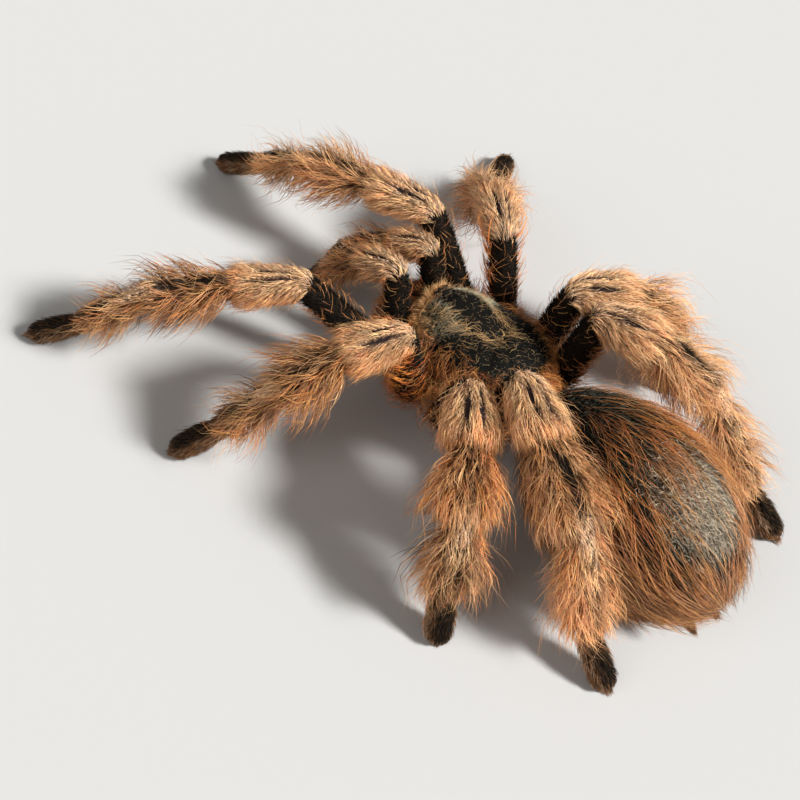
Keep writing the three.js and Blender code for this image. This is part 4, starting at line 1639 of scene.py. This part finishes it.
        # Dark tufts: black hair near the front top, and more toward the sides and below, which is partly
        # painted shade on the lower sides.
        black_and_shade = 0.45 * ramp(0.9, 0.2, np.abs(side)) * ramp(1.5, 0.6, a) + 1.0 * ramp(0.6, 1.4, np.abs(side))
        patch.marks[:, DARK] = black_and_shade * patch.dice(self.rng) ** 0.8
        patch.marks[:, RUST] = 0.45 * patch.dice(self.rng) * (1 - worn)
        return grow(self, self.long_hair, patch, self.rng)

    def grow_fringe(self, span: Pair) -> Sheaf:
        """The full orange fringe round the rear and along the lower sides."""

        def where(a: Array, b: Array) -> Array:
            rear = ramp(2.25, 2.7, a)
            low = ramp(1.5, 2.1, off_top(b)) * 0.55
            return np.clip(rear + low, 0, 1) * (1 - self.mirror_patch(a, b))

        patch = sown(self, self.fringe, (0.4, 3.0), self.rng, where, span)
        patch.marks[:, PALE] = 0.4 * patch.dice(self.rng)
        patch.marks[:, DARK] = patch.dice(self.rng) ** 1.2
        patch.stretch = 0.8 + 0.3 * patch.dice(self.rng) - 0.3 * ramp(2.6, 3.0, patch.a)
        return grow(self, self.fringe, patch, self.rng)

    def grow_dust(self, span: Pair) -> Sheaf:
        """Short tangled khaki hair on the worn patch."""
        patch = sown(self, self.dust, (1.4, 2.6), self.rng, self.mirror_patch, span)
        lumps = self.lumps(patch.a, patch.b)
        patch.marks[:, PALE] = np.clip(0.85 + 0.7 * lumps + 0.3 * self.rng.normal(size=len(lumps)), 0, 1)
        patch.raise_by = 16 * lumps
        return grow(self, self.dust, patch, self.rng)

    def dress(self, velvet_look: Material, coat_look: Material) -> None:
        """Makes the abdomen's coat, half by half.

        Args:
            velvet_look: The velvet's material.
            coat_look: The long hair's material.
        """
        for side, span in (("left", (0.0, math.pi)), ("right", (-math.pi, 0.0))):
            velvet = Sheaf.joined([self.grow_velvet(span), self.grow_dust(span)])
            velvet.put(f"velvet_abdomen_{side}", velvet_look, Slot.BLACK_VELVET)
            long_coat = Sheaf.joined([self.grow_long(span), self.grow_fringe(span)])
            long_coat.put(f"coat_abdomen_{side}", coat_look, Slot.RUST_HAIR)

    def spinnerets(self) -> list[Tube]:
        """The two long spinnerets under the rear."""
        tubes = []
        back = np.array([20.5, 22.4, 24.2, 25.3])
        for side in Side:
            out = side.value * (0.9 + 0.08 * back)
            local = np.stack([out, back, np.array([-6.4, -6.9, -7.3, -7.5])], axis=-1)
            radius = np.array([1.05, 1.05, 0.8, 0.35])
            tubes.append(ringed_tube(self.to_world(local), radius, radius, UP))
        return tubes


# ---- front body --------------------------------------------------------------------------------


@dataclass
class Carapace(Surface):
    """The dome of the front body; a runs from its front edge to its rear, b round it from its top."""

    length: float = 27.0
    width: float = 24.5
    rise: float = 5.6
    margin_level: float = 0.6
    under: float = 1.3
    corner: float = 2.6
    head_narrowing: float = 0.3
    head_swell: float = 0.12
    coat_depth: float = 0.45
    fovea: tuple[float, float, float, float] = (-0.25, 0.9, 0.16, 0.3)
    head_step: float = 0.75
    velvet: Pelt = Pelt(26.0, 1, 0.65, 0.11, (36, 36), 0.1, 0.0, 34, 0, 1)
    wavy: Pelt = Pelt(1.5, 2, 3.8, 0.065, (26, -2), 0.4, 0.2, 12, 20, 5, wave=24)
    curls: Pelt = Pelt(0.7, 1, 1.5, 0.05, (44, -6), 0.1, 0.0, 60, 50, 4, wave=40)
    cheek: Pelt = Pelt(1.5, 3, 1.4, 0.06, (26, 8), 0.3, 0.3, 14, 16, 2)
    rim: Pelt = Pelt(17.0, 2, 2.3, 0.08, (74, 56), 0.25, 0.3, 16, 16, 3, wave=14)
    margin: Pelt = Pelt(2.1, 3, 3.9, 0.09, (44, 8), 0.4, 0.45, 28, 28, 3, wave=18)

    def __post_init__(self) -> None:
        """Starts the carapace's own run of chance."""
        self.rng = np.random.default_rng(SEED + 70)

    def half_width(self, along: Array) -> Array:
        """An oval of power 2.6, narrowed toward the head."""
        oval = np.sqrt(np.clip(1 - np.abs(along) ** self.corner, 0, 1))
        taper = 1 - self.head_narrowing * ramp(-0.1, 0.85, along)
        return (self.width / 2 - self.coat_depth) * oval * taper

    def point(self, a: Array, b: Array) -> Array:
        """A dome: half width times sin b across, and its rise times cos b upward, with grooves."""
        along = np.cos(a)
        ring = np.sqrt(np.clip(1 - along**2, 1e-9, 1))
        side, top = np.sin(b), np.cos(b)
        at, depth, long, wide = self.fovea
        dip = depth * np.exp(-(((along - at) / long) ** 2) - (side / wide) ** 2)
        pit = 0.9 * np.exp(-(((along - at) / 0.045) ** 2) - (side / 0.1) ** 2)
        rays = self.grooves(along, side)
        swell = 1 + self.head_swell * ramp(0.0, 0.6, along)
        fade = np.minimum(1, ring * 1.25) ** 0.8
        upper = ((self.rise - self.coat_depth) * swell * fade - dip - pit - rays) * np.maximum(0, top)
        lower = self.under * fade * np.minimum(0, top)
        up = self.margin_level + upper + lower + self.head_step * self.head(along, side) * np.maximum(0, top)
        return STANCE.on_body(along * (self.length / 2 - self.coat_depth), side * self.half_width(along), up)

    def head(self, along: Array, side: Array) -> Array:
        """1 on the raised head: the wedge ahead of the fovea, its edges a soft step."""
        edge = np.clip(0.14 + 0.62 * (along + 0.2), 0.05, 0.72)
        across = ramp(0.12, -0.08, np.abs(side) - edge)
        return across * ramp(-0.25, 0.15, along) * ramp(0.98, 0.8, along)

    def grooves(self, along: Array, side: Array) -> Array:
        """Depth of the shallow grooves that run out from the fovea, one between each pair of legs."""
        from_pit = np.hypot((along + 0.25) * 1.1, side)
        angle = np.arctan2(np.abs(side), along + 0.25)
        depth = np.zeros(np.shape(along))
        for ray, strength in ((0.78, 0.5), (1.3, 0.28), (1.85, 0.28), (2.4, 0.28)):
            depth = depth + strength * np.exp(-(((angle - ray) * np.maximum(from_pit, 0.12) / 0.06) ** 2))
        return depth * ramp(0.12, 0.3, from_pit) * ramp(0.95, 0.6, from_pit)

    def planted(self, pelt: Pelt, b_reach: float, keep: Keep | None = None) -> tuple[Patch, Array, Array]:
        """Tufts on the dome.

        Args:
            pelt: The kind of hair.
            b_reach: How far round from the top they stand, as an angle.
            keep: The share of the hair's density at each place, or nothing for all of it.

        Returns:
            The tufts, how far forward each stands, and how far to its side, both from -1 to 1.
        """
        patch = sown(self, pelt, (0.1, 3.04), self.rng, keep, (-b_reach, b_reach))
        return patch, np.cos(patch.a), np.sin(patch.b)

    def groove(self, a: Array, b: Array) -> Array:
        """1 along the two grooves that run from the head's cheeks back to the fovea."""
        along, side = np.cos(a), np.abs(np.sin(b))
        line = (side - np.clip(0.2 + 0.62 * (along + 0.2), 0.0, 0.8)) / 0.13
        return np.exp(-(line**2)) * ramp(-0.35, -0.1, along) * ramp(0.9, 0.6, along)

    def grow_velvet(self) -> Sheaf:
        """Close black hair over the rear, greenish grey on the head's cheeks."""

        def felt(along: Array, side: Array) -> Array:
            return ramp(-0.12, 0.1, along - 0.45 * np.abs(side)) * ramp(0.3, 0.48, np.abs(side))

        def where(a: Array, b: Array) -> Array:
            return 0.5 + 0.5 * felt(np.cos(a), np.sin(b))

        patch, along, side = self.planted(self.velvet, 1.75, where)
        head = felt(along, side)
        fleck = 0.55 * (patch.dice(self.rng) > 0.93)
        patch.stretch = 1 + 0.6 * head
        patch.marks[:, PALE] = fleck
        patch.marks[:, DARK] = (1 - head) * (1 - fleck)
        return grow(self, self.velvet, patch, self.rng)

    def grow_cheeks(self) -> Sheaf:
        """Short golden-grey hair on the head's cheeks and round the eyes."""

        def where(a: Array, b: Array) -> Array:
            along, side = np.cos(a), np.abs(np.sin(b))
            return 0.5 * ramp(0.3, 0.55, side) * ramp(0.2, 0.5, along)

        patch, along, side = self.planted(self.cheek, 1.5, where)
        patch.lie = math.pi - np.sign(side) * 0.7 * np.abs(side)
        patch.marks[:, PALE] = (0.15 + 0.5 * ramp(0.7, 0.9, along)) * (0.5 + 0.5 * patch.dice(self.rng))
        return grow(self, self.cheek, patch, self.rng)

    def grow_rim(self) -> Sheaf:
        """The golden horseshoe of upright hair in front of the eyes and down beside them."""

        def where(a: Array, b: Array) -> Array:
            along, side = np.cos(a), np.abs(np.sin(b))
            front = ramp(0.86, 0.91, along)
            arms = np.exp(-(((side - 0.88) / 0.1) ** 2)) * ramp(0.35, 0.6, along)
            return np.clip(front + 0.4 * arms, 0, 1)

        patch, along, side = self.planted(self.rim, 1.5, where)
        patch.lie = 0.8 * side
        patch.stretch = 0.55 + 0.45 * ramp(0.6, 0.9, along)
        patch.marks[:, PALE] = 0.9
        patch.marks[:, RUST] = 0.4 * patch.dice(self.rng)
        return grow(self, self.rim, patch, self.rng)

    def grow_wavy(self) -> Sheaf:
        """Long pale wavy hair along the grooves behind the head."""
        patch, _, side = self.planted(self.wavy, 1.5, self.groove)
        patch.lie = -0.75 * np.sign(side) * ramp(0.1, 0.5, np.abs(side))
        patch.marks[:, PALE] = 0.5 + 0.5 * patch.dice(self.rng)
        return grow(self, self.wavy, patch, self.rng)

    def grow_curls(self) -> Sheaf:
        """A few short pale curls scattered over the black."""
        patch = self.planted(self.curls, 1.5)[0]
        patch.marks[:, PALE] = 0.2 + 0.6 * patch.dice(self.rng)
        return grow(self, self.curls, patch, self.rng)

    def grow_margin(self) -> Sheaf:
        """The orange-brown fringe all round the edge, golden at the front."""

        def where(a: Array, b: Array) -> Array:
            forward = ramp(0.05, 0.5, np.cos(a))
            edge = ramp(0.0, 0.43 - 0.15 * forward, np.abs(b) - 0.62 - 0.4 * forward)
            return np.clip(edge + ramp(0.82, 0.94, np.abs(np.cos(a))), 0, 1)

        patch, along, _ = self.planted(self.margin, 1.8, where)
        b = patch.b
        forward = ramp(0.1, 0.7, along)
        outward = np.sign(b) * ramp(0.2, 0.9, np.abs(b)) * ramp(0.98, 0.85, np.abs(along))
        patch.lie = np.where(along > 0.9, math.pi, outward * (1.0 + 0.5 * forward))
        patch.marks[:, RUST] = 0.8 - 0.45 * forward
        patch.marks[:, PALE] = 0.6 * forward * patch.dice(self.rng) + 0.05
        patch.marks[:, DARK] = 0.85 * patch.dice(self.rng) * (1 - forward)
        return grow(self, self.margin, patch, self.rng)

    def dress(
        self, shell_look: Material, velvet_look: Material, coat_look: Material
    ) -> None:
        """Makes the carapace and its coat.

        Args:
            shell_look: The shell's material.
            velvet_look: The close hair's material.
            coat_look: The long hair's material.
        """
        shell = self.shell(150, 150, 0.02)
        plate = shell.put("carapace_plate", shell_look, Slot.BLACK_VELVET, False)
        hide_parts("carapace")
        self.grow_velvet().put("velvet_carapace", velvet_look, Slot.BLACK_VELVET)
        coat = Sheaf.joined(
            [self.grow_cheeks(), self.grow_rim(), self.grow_wavy(), self.grow_curls(), self.grow_margin()]
        )
        coat.put("coat_carapace", coat_look, Slot.BROWN_HAIR)


@dataclass
class Ball(Surface):
    """An ellipsoid on the front body; a runs down from its top and b round it."""

    centre: Triple
    radii: Triple

    def point(self, a: Array, b: Array) -> Array:
        """Radii times (sin a cos b, -sin a sin b, cos a), set forward, out and up."""
        forward, out, up = self.centre
        return STANCE.on_body(
            forward + self.radii[0] * np.sin(a) * np.cos(b),
            out - self.radii[1] * np.sin(a) * np.sin(b),
            up + self.radii[2] * np.cos(a),
        )

    def normal(self, a: Array, b: Array) -> Array:
        """Straight out from the middle."""
        forward, out, up = self.centre
        return unit(self.point(a, b) - STANCE.on_body(forward, out, up))


@dataclass
class Eyes:
    """The eight eyes in two rows on their low mound near the front edge."""

    mound: Ball = field(default_factory=lambda: Ball((10.5, 0.0, 5.35), (1.55, 1.95, 1.35)))
    rows: tuple[tuple[float, float, float, float], ...] = (
        (11.45, 0.62, 6.42, 0.46),
        (11.5, 1.52, 5.92, 0.48),
        (10.25, 1.66, 6.12, 0.38),
        (10.1, 0.98, 6.5, 0.30),
    )
    tuft: Pelt = Pelt(9.0, 2, 1.6, 0.09, (44, 22), 0.25, 0.3, 20, 24, 3)

    def dress(self, shell: Material, lens: Material, coat_look: Material) -> None:
        """Makes the mound, the lenses and the golden hair round them.

        Args:
            shell: The mound's material.
            lens: The eyes' material.
            coat_look: The hair's material.
        """
        self.mound.shell(24, 36, 0.05).put("eye_mound", shell, Slot.BLACK_VELVET, False)
        balls = [
            Ball((forward, side.value * out, up), (radius, radius, radius * 0.9))
            for forward, out, up, radius in self.rows
            for side in Side
        ]
        lenses = Sheaf.joined([ball.shell(16, 24, 0.08) for ball in balls])
        eyes = lenses.put("eyes", lens, Slot.BLACK_LENS, False)
        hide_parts("ocular_tubercle")
        rng = np.random.default_rng(SEED + 71)

        def clear_of_eyes(a: Array, b: Array) -> Array:
            roots = self.mound.point(a, b)
            gap = np.full(len(a), 9.0)
            for ball in balls:
                eye = STANCE.on_body(*ball.centre)
                gap = np.minimum(gap, np.linalg.norm(roots - eye, axis=1) / ball.radii[0])
            return ramp(1.2, 1.5, gap)

        patch = sown(self.mound, self.tuft, (0.1, 1.9), rng, clear_of_eyes)
        front = ramp(-0.2, 0.6, np.cos(patch.b)) * ramp(0.5, 1.0, patch.a)
        patch.marks[:, PALE] = np.clip(0.25 + 0.75 * front, 0, 1) * (0.6 + 0.4 * patch.dice(rng))
        patch.marks[:, DARK] = 0.6 * (1 - front)
        patch.stretch = 0.5 + 0.5 * front
        grow(self.mound, self.tuft, patch, rng).put("coat_eye_mound", coat_look, Slot.CREAM_HAIR)


@dataclass
class Jaws:
    """The two heavy jaws under the front edge and the fangs folded beneath them."""

    out: float = 3.05
    rings: tuple[tuple[float, float, float, float], ...] = (
        (9.0, -1.2, 2.0, 2.3),
        (11.0, -1.1, 2.1, 2.5),
        (14.0, -0.6, 2.5, 3.0),
        (17.2, -1.6, 2.55, 3.2),
        (19.0, -4.0, 2.3, 2.6),
        (19.5, -6.4, 1.7, 1.8),
    )
    velvet: Pelt = Pelt(9.0, 1, 0.9, 0.13, (26, 26), 0.1, 0.0, 12, 0, 1)
    long_hair: Pelt = Pelt(0.9, 3, 3.2, 0.11, (34, 12), 0.4, 0.45, 14, 20, 3)

    def jaw(self, side: Side) -> Tube:
        """One jaw as a tube through its rings."""
        rings = np.array(self.rings)
        centres = STANCE.on_body(rings[:, 0], side.value * self.out, rings[:, 1])
        return ringed_tube(centres, rings[:, 3], rings[:, 2], UP + STANCE.turn() @ np.array([0, -0.6, 0]))

    def fang(self, side: Side) -> Tube:
        """One fang: a quarter turn back and under, thinning to a point."""
        part = np.linspace(0, 1, 9)
        sweep = np.radians(95 * part)
        centres = STANCE.on_body(
            19.6 - 5.2 * np.sin(sweep), side.value * (self.out - 0.5 * part), -7.6 - 1.3 * np.sin(1.5 * sweep)
        )
        radius = 0.95 * (1 - part) ** 0.7 + 0.06
        return ringed_tube(centres, radius, radius * 0.9, UP)

    def dress(self, shell: Material, horn: Material, coat_look: Material) -> None:
        """Makes the jaws, the fangs and the jaws' coat.

        Args:
            shell: The jaws' material.
            horn: The fangs' material.
            coat_look: The hair's material.
        """
        rng = np.random.default_rng(SEED + 72)
        for side in Side:
            tube = self.jaw(side)
            jaw = tube.shell(48, 40, 0.05).put(f"jaw_{side.label()}", shell, Slot.BROWN_HAIR, False)
            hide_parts(f"chelicera_{side.label()}")
            bare_fang = self.fang(side).shell(40, 20, 0.02)
            fang = bare_fang.put(f"fang_horn_{side.label()}", horn, Slot.DARK_FANG, False)
            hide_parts(f"fang_{side.label()}")
            low, high = tube.a_range
            patch = sown(tube, self.velvet, (low + 1, high - 0.4), rng)
            patch.marks[:, PALE] = 0.25 * patch.dice(rng)
            patch.marks[:, DARK] = 0.3 * patch.dice(rng)
            short = grow(tube, self.velvet, patch, rng)
            patch = sown(tube, self.long_hair, (low + 2, high - 0.3), rng)
            patch.marks[:, RUST] = 0.5 + 0.4 * patch.dice(rng)
            patch.stretch = 0.6 + 0.8 * ramp(low + 4, high, patch.a)
            long_coat = grow(tube, self.long_hair, patch, rng)
            Sheaf.joined([short, long_coat]).put(f"coat_jaw_{side.label()}", coat_look, Slot.BROWN_HAIR)


@dataclass
class Underside:
    """The sternum, the coxae and the narrow stalk behind, with their coat."""

    limbs: list[Limb]
    abdomen: Abdomen
    sternum: Ball = field(default_factory=lambda: Ball((-0.6, 0.0, -3.6), (11.7, 8.1, 4.7)))
    velvet: Pelt = Pelt(4.5, 1, 1.4, 0.22, (30, 30), 0.1, 0.0, 16, 0, 1)
    shag: Pelt = Pelt(1.05, 3, 5.2, 0.11, (50, 16), 0.5, 0.4, 18, 18, 3, wave=10)
    spinneret_hair: Pelt = Pelt(9.0, 1, 1.0, 0.12, (22, 10), 0.1, 0.0, 14, 0, 1)

    def pedicel(self) -> Tube:
        """The stalk between front body and abdomen."""
        back = np.array([-9.0, -12.2, -14.4, -17.5])
        radius = np.array([2.2, 2.0, 1.9, 2.3])
        return ringed_tube(STANCE.on_body(back, 0.0, -0.2 + 0 * back), radius, radius, UP)

    def parts(self) -> list[Sheaf]:
        """Closed shells that the one skin is made from."""
        shells = [self.sternum.shell(40, 60, 0.04), self.pedicel().shell(30, 30, 0.03)]
        shells.append(self.abdomen.shell(110, 120, 0.01))
        shells += [tube.shell(24, 20, 0.02) for tube in self.abdomen.spinnerets()]
        for limb in self.limbs:
            rows = int((limb.tube.a_range[1] - limb.tube.a_range[0]) / 0.4)
            shells.append(limb.tube.shell(rows, 32, 0.01))
        return shells

    def dress(self, velvet_look: Material, coat_look: Material) -> None:
        """Grows the coat of the coxae, the sternum and the stalk.

        Args:
            velvet_look: The velvet's material.
            coat_look: The long hair's material.
        """
        rng = np.random.default_rng(SEED + 73)
        velvet, shag = [], []
        patch = sown(self.sternum, self.velvet, (1.5, 3.05), rng)
        patch.marks[:, DARK] = 0.8
        velvet.append(grow(self.sternum, self.velvet, patch, rng, (0.0, 0.0, BAKE_TILE)))
        for index, limb in enumerate(self.limbs):
            column, row = (index + 1) % 4, (index + 1) // 4
            tile = (TILE_STEP * column, TILE_STEP * row, BAKE_TILE)
            patch = sown(limb.tube, self.velvet, (-7.0, 1.0), rng)
            patch.marks[:, DARK] = 0.6
            velvet.append(grow(limb.tube, self.velvet, patch, rng, tile))
            patch = sown(limb.tube, self.shag, (-6.5, 1.5), rng)
            patch.marks[:, RUST] = 0.5
            patch.marks[:, PALE] = 0.4 * patch.dice(rng)
            patch.marks[:, DARK] = 0.5 * patch.dice(rng)
            shag.append(grow(limb.tube, self.shag, patch, rng, tile))
        stalk = self.pedicel()
        patch = sown(stalk, replace(self.shag, tufts=1.5 * self.shag.tufts), (1.0, 7.5), rng)
        patch.marks[:, RUST] = 0.6
        shag.append(grow(stalk, self.shag, patch, rng, (3 * TILE_STEP, 2 * TILE_STEP, BAKE_TILE)))
        for index, tube in enumerate(self.abdomen.spinnerets()):
            low, high = tube.a_range
            patch = sown(tube, self.spinneret_hair, (low + 0.5, high - 0.3), rng)
            patch.marks[:, PALE] = 0.3 * patch.dice(rng)
            patch.marks[:, RUST] = 0.7
            tile = (TILE_STEP * index, 3 * TILE_STEP, BAKE_TILE)
            velvet.append(grow(tube, self.spinneret_hair, patch, rng, tile))
        Sheaf.joined(velvet).put("velvet_underside", velvet_look, Slot.BROWN_HAIR)
        Sheaf.joined(shag).put("coat_underside", coat_look, Slot.RUST_HAIR)


# ---- the one skin ------------------------------------------------------------------------------


@dataclass
class Skin:
    """One continuous skin over limbs, underside, stalk, abdomen and spinnerets."""

    limbs: list[Limb]
    underside: Underside
    abdomen: Abdomen
    voxel: float = 0.5
    smoothing: int = 4
    reach: float = 4.6
    box_margin: float = 4.5
    knee_pale: float = 0.6
    rusty: float = 0.4
    worn_pale: float = 0.3

    def fused(self) -> bpy.types.Mesh:
        """Joins the closed shells into one surface on a fine even grid and smooths it.

        Returns:
            The finished mesh, in metres.
        """
        mesh = Sheaf.joined(self.underside.parts()).mesh("skin_raw")
        maker = linked("skin_maker", mesh)
        remesh = maker.modifiers.new("fuse", "REMESH")
        remesh.mode = "VOXEL"
        remesh.voxel_size = self.voxel * MM * 1.0
        smooth = maker.modifiers.new("smooth", "SMOOTH")
        smooth.factor = 0.5
        smooth.iterations = self.smoothing
        graph = bpy.context.evaluated_depsgraph_get()
        fused = bpy.data.meshes.new_from_object(maker.evaluated_get(graph))
        bpy.data.objects.remove(maker)
        bpy.data.meshes.remove(mesh)
        return fused

    def markings(self, verts: Array) -> Array:
        """The coat's markings where the skin shows through it.

        Each vertex takes the place along and round the limb whose path is nearest to it.

        Args:
            verts: Places on the skin, in millimetres.

        Returns:
            How pale, how dark and how rusty each place is.
        """
        marks = np.zeros((len(verts), 3))
        best = np.full(len(verts), self.reach)
        for limb in self.limbs:
            path = limb.tube.path[::2]
            low, high = path.min(axis=0) - self.box_margin, path.max(axis=0) + self.box_margin
            near = np.flatnonzero(((verts > low) & (verts < high)).all(axis=1))
            gaps = np.linalg.norm(verts[near][:, None, :] - path[None, :, :], axis=2)
            nearest = gaps.argmin(axis=1)
            gap = gaps[np.arange(len(near)), nearest]
            won = gap < best[near]
            near, nearest = near[won], nearest[won]
            best[near] = gap[won]
            a = limb.tube.start + limb.tube.step * 2 * nearest
            index = nearest * 2
            away = verts[near] - limb.tube.path[index]
            b = np.arctan2((away * limb.tube.side[index]).sum(-1), (away * limb.tube.up[index]).sum(-1))
            place, part = limb.part(a)
            femur, patella, tibia, fourth = (place == number for number in range(4))
            marks[near, PALE] = np.where(patella, self.knee_pale, 0.0)
            marks[near, DARK] = np.where(patella, STRIPES.mask(part, b), 0.0)
            bushy = tibia | (fourth & (Piece.METATARSUS in limb.pieces))
            rusty = femur & limb.name.endswith("_2")
            sides = ramp(1.1, 1.6, np.abs(b)) * rusty + (1 - back_stripe(part, b, 0.0)) * bushy
            marks[near, RUST] = self.rusty * sides
        return self.abdomen_markings(verts, marks)

    def abdomen_markings(self, verts: Array, marks: Array) -> Array:
        """Adds the abdomen's: its worn patch pale, its lower sides rusty, its top black.

        Args:
            verts: Places on the skin, in millimetres.
            marks: The markings so far.

        Returns:
            The markings with the abdomen's in them.
        """
        a, b, level = self.abdomen.locate(verts)
        on_egg = level < 1.0
        worn = self.abdomen.mirror_patch(a, b)
        marks[:, PALE] = np.where(on_egg, self.worn_pale * worn, marks[:, PALE])
        marks[:, RUST] = np.where(on_egg, self.rusty * ramp(1.2, 2.2, np.abs(b)) * (1 - worn), marks[:, RUST])
        return marks

    def dress(self, look: Material) -> None:
        """Makes the skin, which stands for every node of flesh.

        Args:
            look: The skin's material.
        """
        mesh = self.fused()
        mesh.name = "skin"
        places = np.empty(3 * len(mesh.vertices), dtype=np.float32)
        mesh.vertices.foreach_get("co", places)
        places = places.reshape(-1, 3)
        places[:, 2] = np.maximum(places[:, 2], LOWEST * MM)
        mesh.vertices.foreach_set("co", places.ravel())
        paint(mesh, "marks", self.markings(places.astype(float) / MM))
        mesh.polygons.foreach_set("use_smooth", np.ones(len(mesh.polygons), dtype=bool))
        mesh.materials.append(look)
        piece = linked("skin", mesh)
        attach(piece, "root")
        nodes = ["sternum_and_coxae", "pedicel", "abdomen", "spinneret_left", "spinneret_right"]
        for limb in self.limbs:
            nodes += limb.nodes()
        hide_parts(*nodes)
        log.info("skin: %d faces", len(mesh.polygons))


# ---- studio ------------------------------------------------------------------------------------


@dataclass(frozen=True)
class Studio:
    """A plain pale floor, soft light and the camera."""

    target: Triple = (9.49, -3.83, 0.0)
    toward: Triple = (0.552, 0.263, 0.791)
    right: Triple = (-0.653, 0.726, 0.214)
    distance: float = 344.0
    lens: float = 82.35
    floor_size: float = 16.0
    floor_colour: Colour = (0.66, 0.655, 0.64)
    wall_colour: Colour = (0.80, 0.79, 0.77)
    room_colour: Colour = (1.0, 0.985, 0.96)
    world_strength: float = 0.16
    lamps: tuple[tuple[str, Triple, float, float], ...] = (
        ("key", (-0.242, 0.664, 0.707), 4.3, 12.0),
        ("fill", (0.766, -0.177, 0.619), 0.58, 40.0),
    )

    def camera(self) -> None:
        """Sets the camera above the spider's left rear, tilted to the side."""
        data = bpy.data.cameras.new("camera")
        data.lens = self.lens
        data.sensor_width = 36.0
        data.clip_start, data.clip_end = 0.01, 20.0
        camera = linked("camera", data)
        back = unit(np.array(self.toward))
        right = np.array(self.right)
        right = unit(right - (right @ back) * back)
        camera.matrix_world = placed_by(right, back, (np.array(self.target) + self.distance * back) * MM)
        bpy.context.scene.camera = camera

    def floor(self) -> None:
        """Lays the floor, a wide square at z = 0."""
        half = self.floor_size / 2
        mesh = bpy.data.meshes.new("floor")
        corners = [(-half, -half, 0), (half, -half, 0), (half, half, 0), (-half, half, 0)]
        mesh.from_pydata(corners, [], [(0, 1, 2, 3)])
        material, kit, shader = new_material("floor")
        kit.fill(shader, {"Base Color": self.floor_colour, "Roughness": 0.9, "Specular IOR Level": 0.1})
        mesh.materials.append(material)
        floor = linked("floor", mesh)

    def lamp(self, name: str, toward: Array, strength: float, spread: float) -> None:
        """One soft lamp, as even over the whole floor as a far window.

        Args:
            name: The lamp's name.
            toward: The way from the spider to the lamp.
            strength: Its light in watts per square metre.
            spread: The angle that it takes up, in degrees.
        """
        data = bpy.data.lights.new(name, "SUN")
        data.energy = strength
        data.angle = math.radians(spread)
        back = unit(toward)
        linked(name, data).matrix_world = placed_by(unit(np.cross(UP, back)), back, back)

    def light(self) -> None:
        """Sets the lamps, the even light of the room, and the pale wall that only the camera sees."""
        for name, toward, strength, spread in self.lamps:
            self.lamp(name, np.array(toward), strength, spread)
        world = bpy.data.worlds.new("room")
        world.use_nodes = True
        kit = NodeKit(world.node_tree)
        room = world.node_tree.nodes["Background"]
        wall = kit.add("ShaderNodeBackground")
        choice = kit.add("ShaderNodeMixShader")
        kit.fill(room, {"Color": self.room_colour, "Strength": self.world_strength})
        kit.fill(wall, {"Color": self.wall_colour, "Strength": 1.0})
        kit.join(kit.add("ShaderNodeLightPath").outputs["Is Camera Ray"], choice.inputs["Fac"])
        kit.join(room.outputs["Background"], choice.inputs[1])
        kit.join(wall.outputs["Background"], choice.inputs[2])
        kit.join(choice.outputs["Shader"], world.node_tree.nodes["World Output"].inputs["Surface"])
        bpy.context.scene.world = world

    def build(self) -> None:
        """Sets up the whole studio."""
        self.camera()
        self.floor()
        self.light()
        bpy.context.scene.view_settings.view_transform = "Standard"


# ---- the whole spider --------------------------------------------------------------------------


def main() -> None:
    """Builds the spider piece by piece, then the studio."""
    logging.basicConfig(level=logging.INFO, format="%(message)s")
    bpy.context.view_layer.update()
    limbs = make_limbs()
    abdomen = Abdomen()
    underside = Underside(limbs, abdomen)
    leg_look, leg_velvet = LEG_COAT.material(), LEG_VELVET.material()
    head_look = HEAD_COAT.material()
    carapace_look = CARAPACE_SHELL.material()
    Skin(limbs, underside, abdomen).dress(SkinFinish().material())
    underside.dress(leg_velvet, leg_look)
    Carapace().dress(carapace_look, HEAD_VELVET.material(), head_look)
    Eyes().dress(carapace_look, EYE_LENS.material(), head_look)
    horn_look = FANG_HORN.material()
    Jaws().dress(JAW_SHELL.material(), horn_look, head_look)
    for index, limb in enumerate(limbs):
        LimbCoat(limb, 10 + index).dress(leg_velvet, leg_look)
    Claws().dress(limbs, horn_look)
    abdomen.dress(ABDOMEN_VELVET.material(), ABDOMEN_COAT.material())
    Studio().build()


if __name__ == "__main__":
    main()
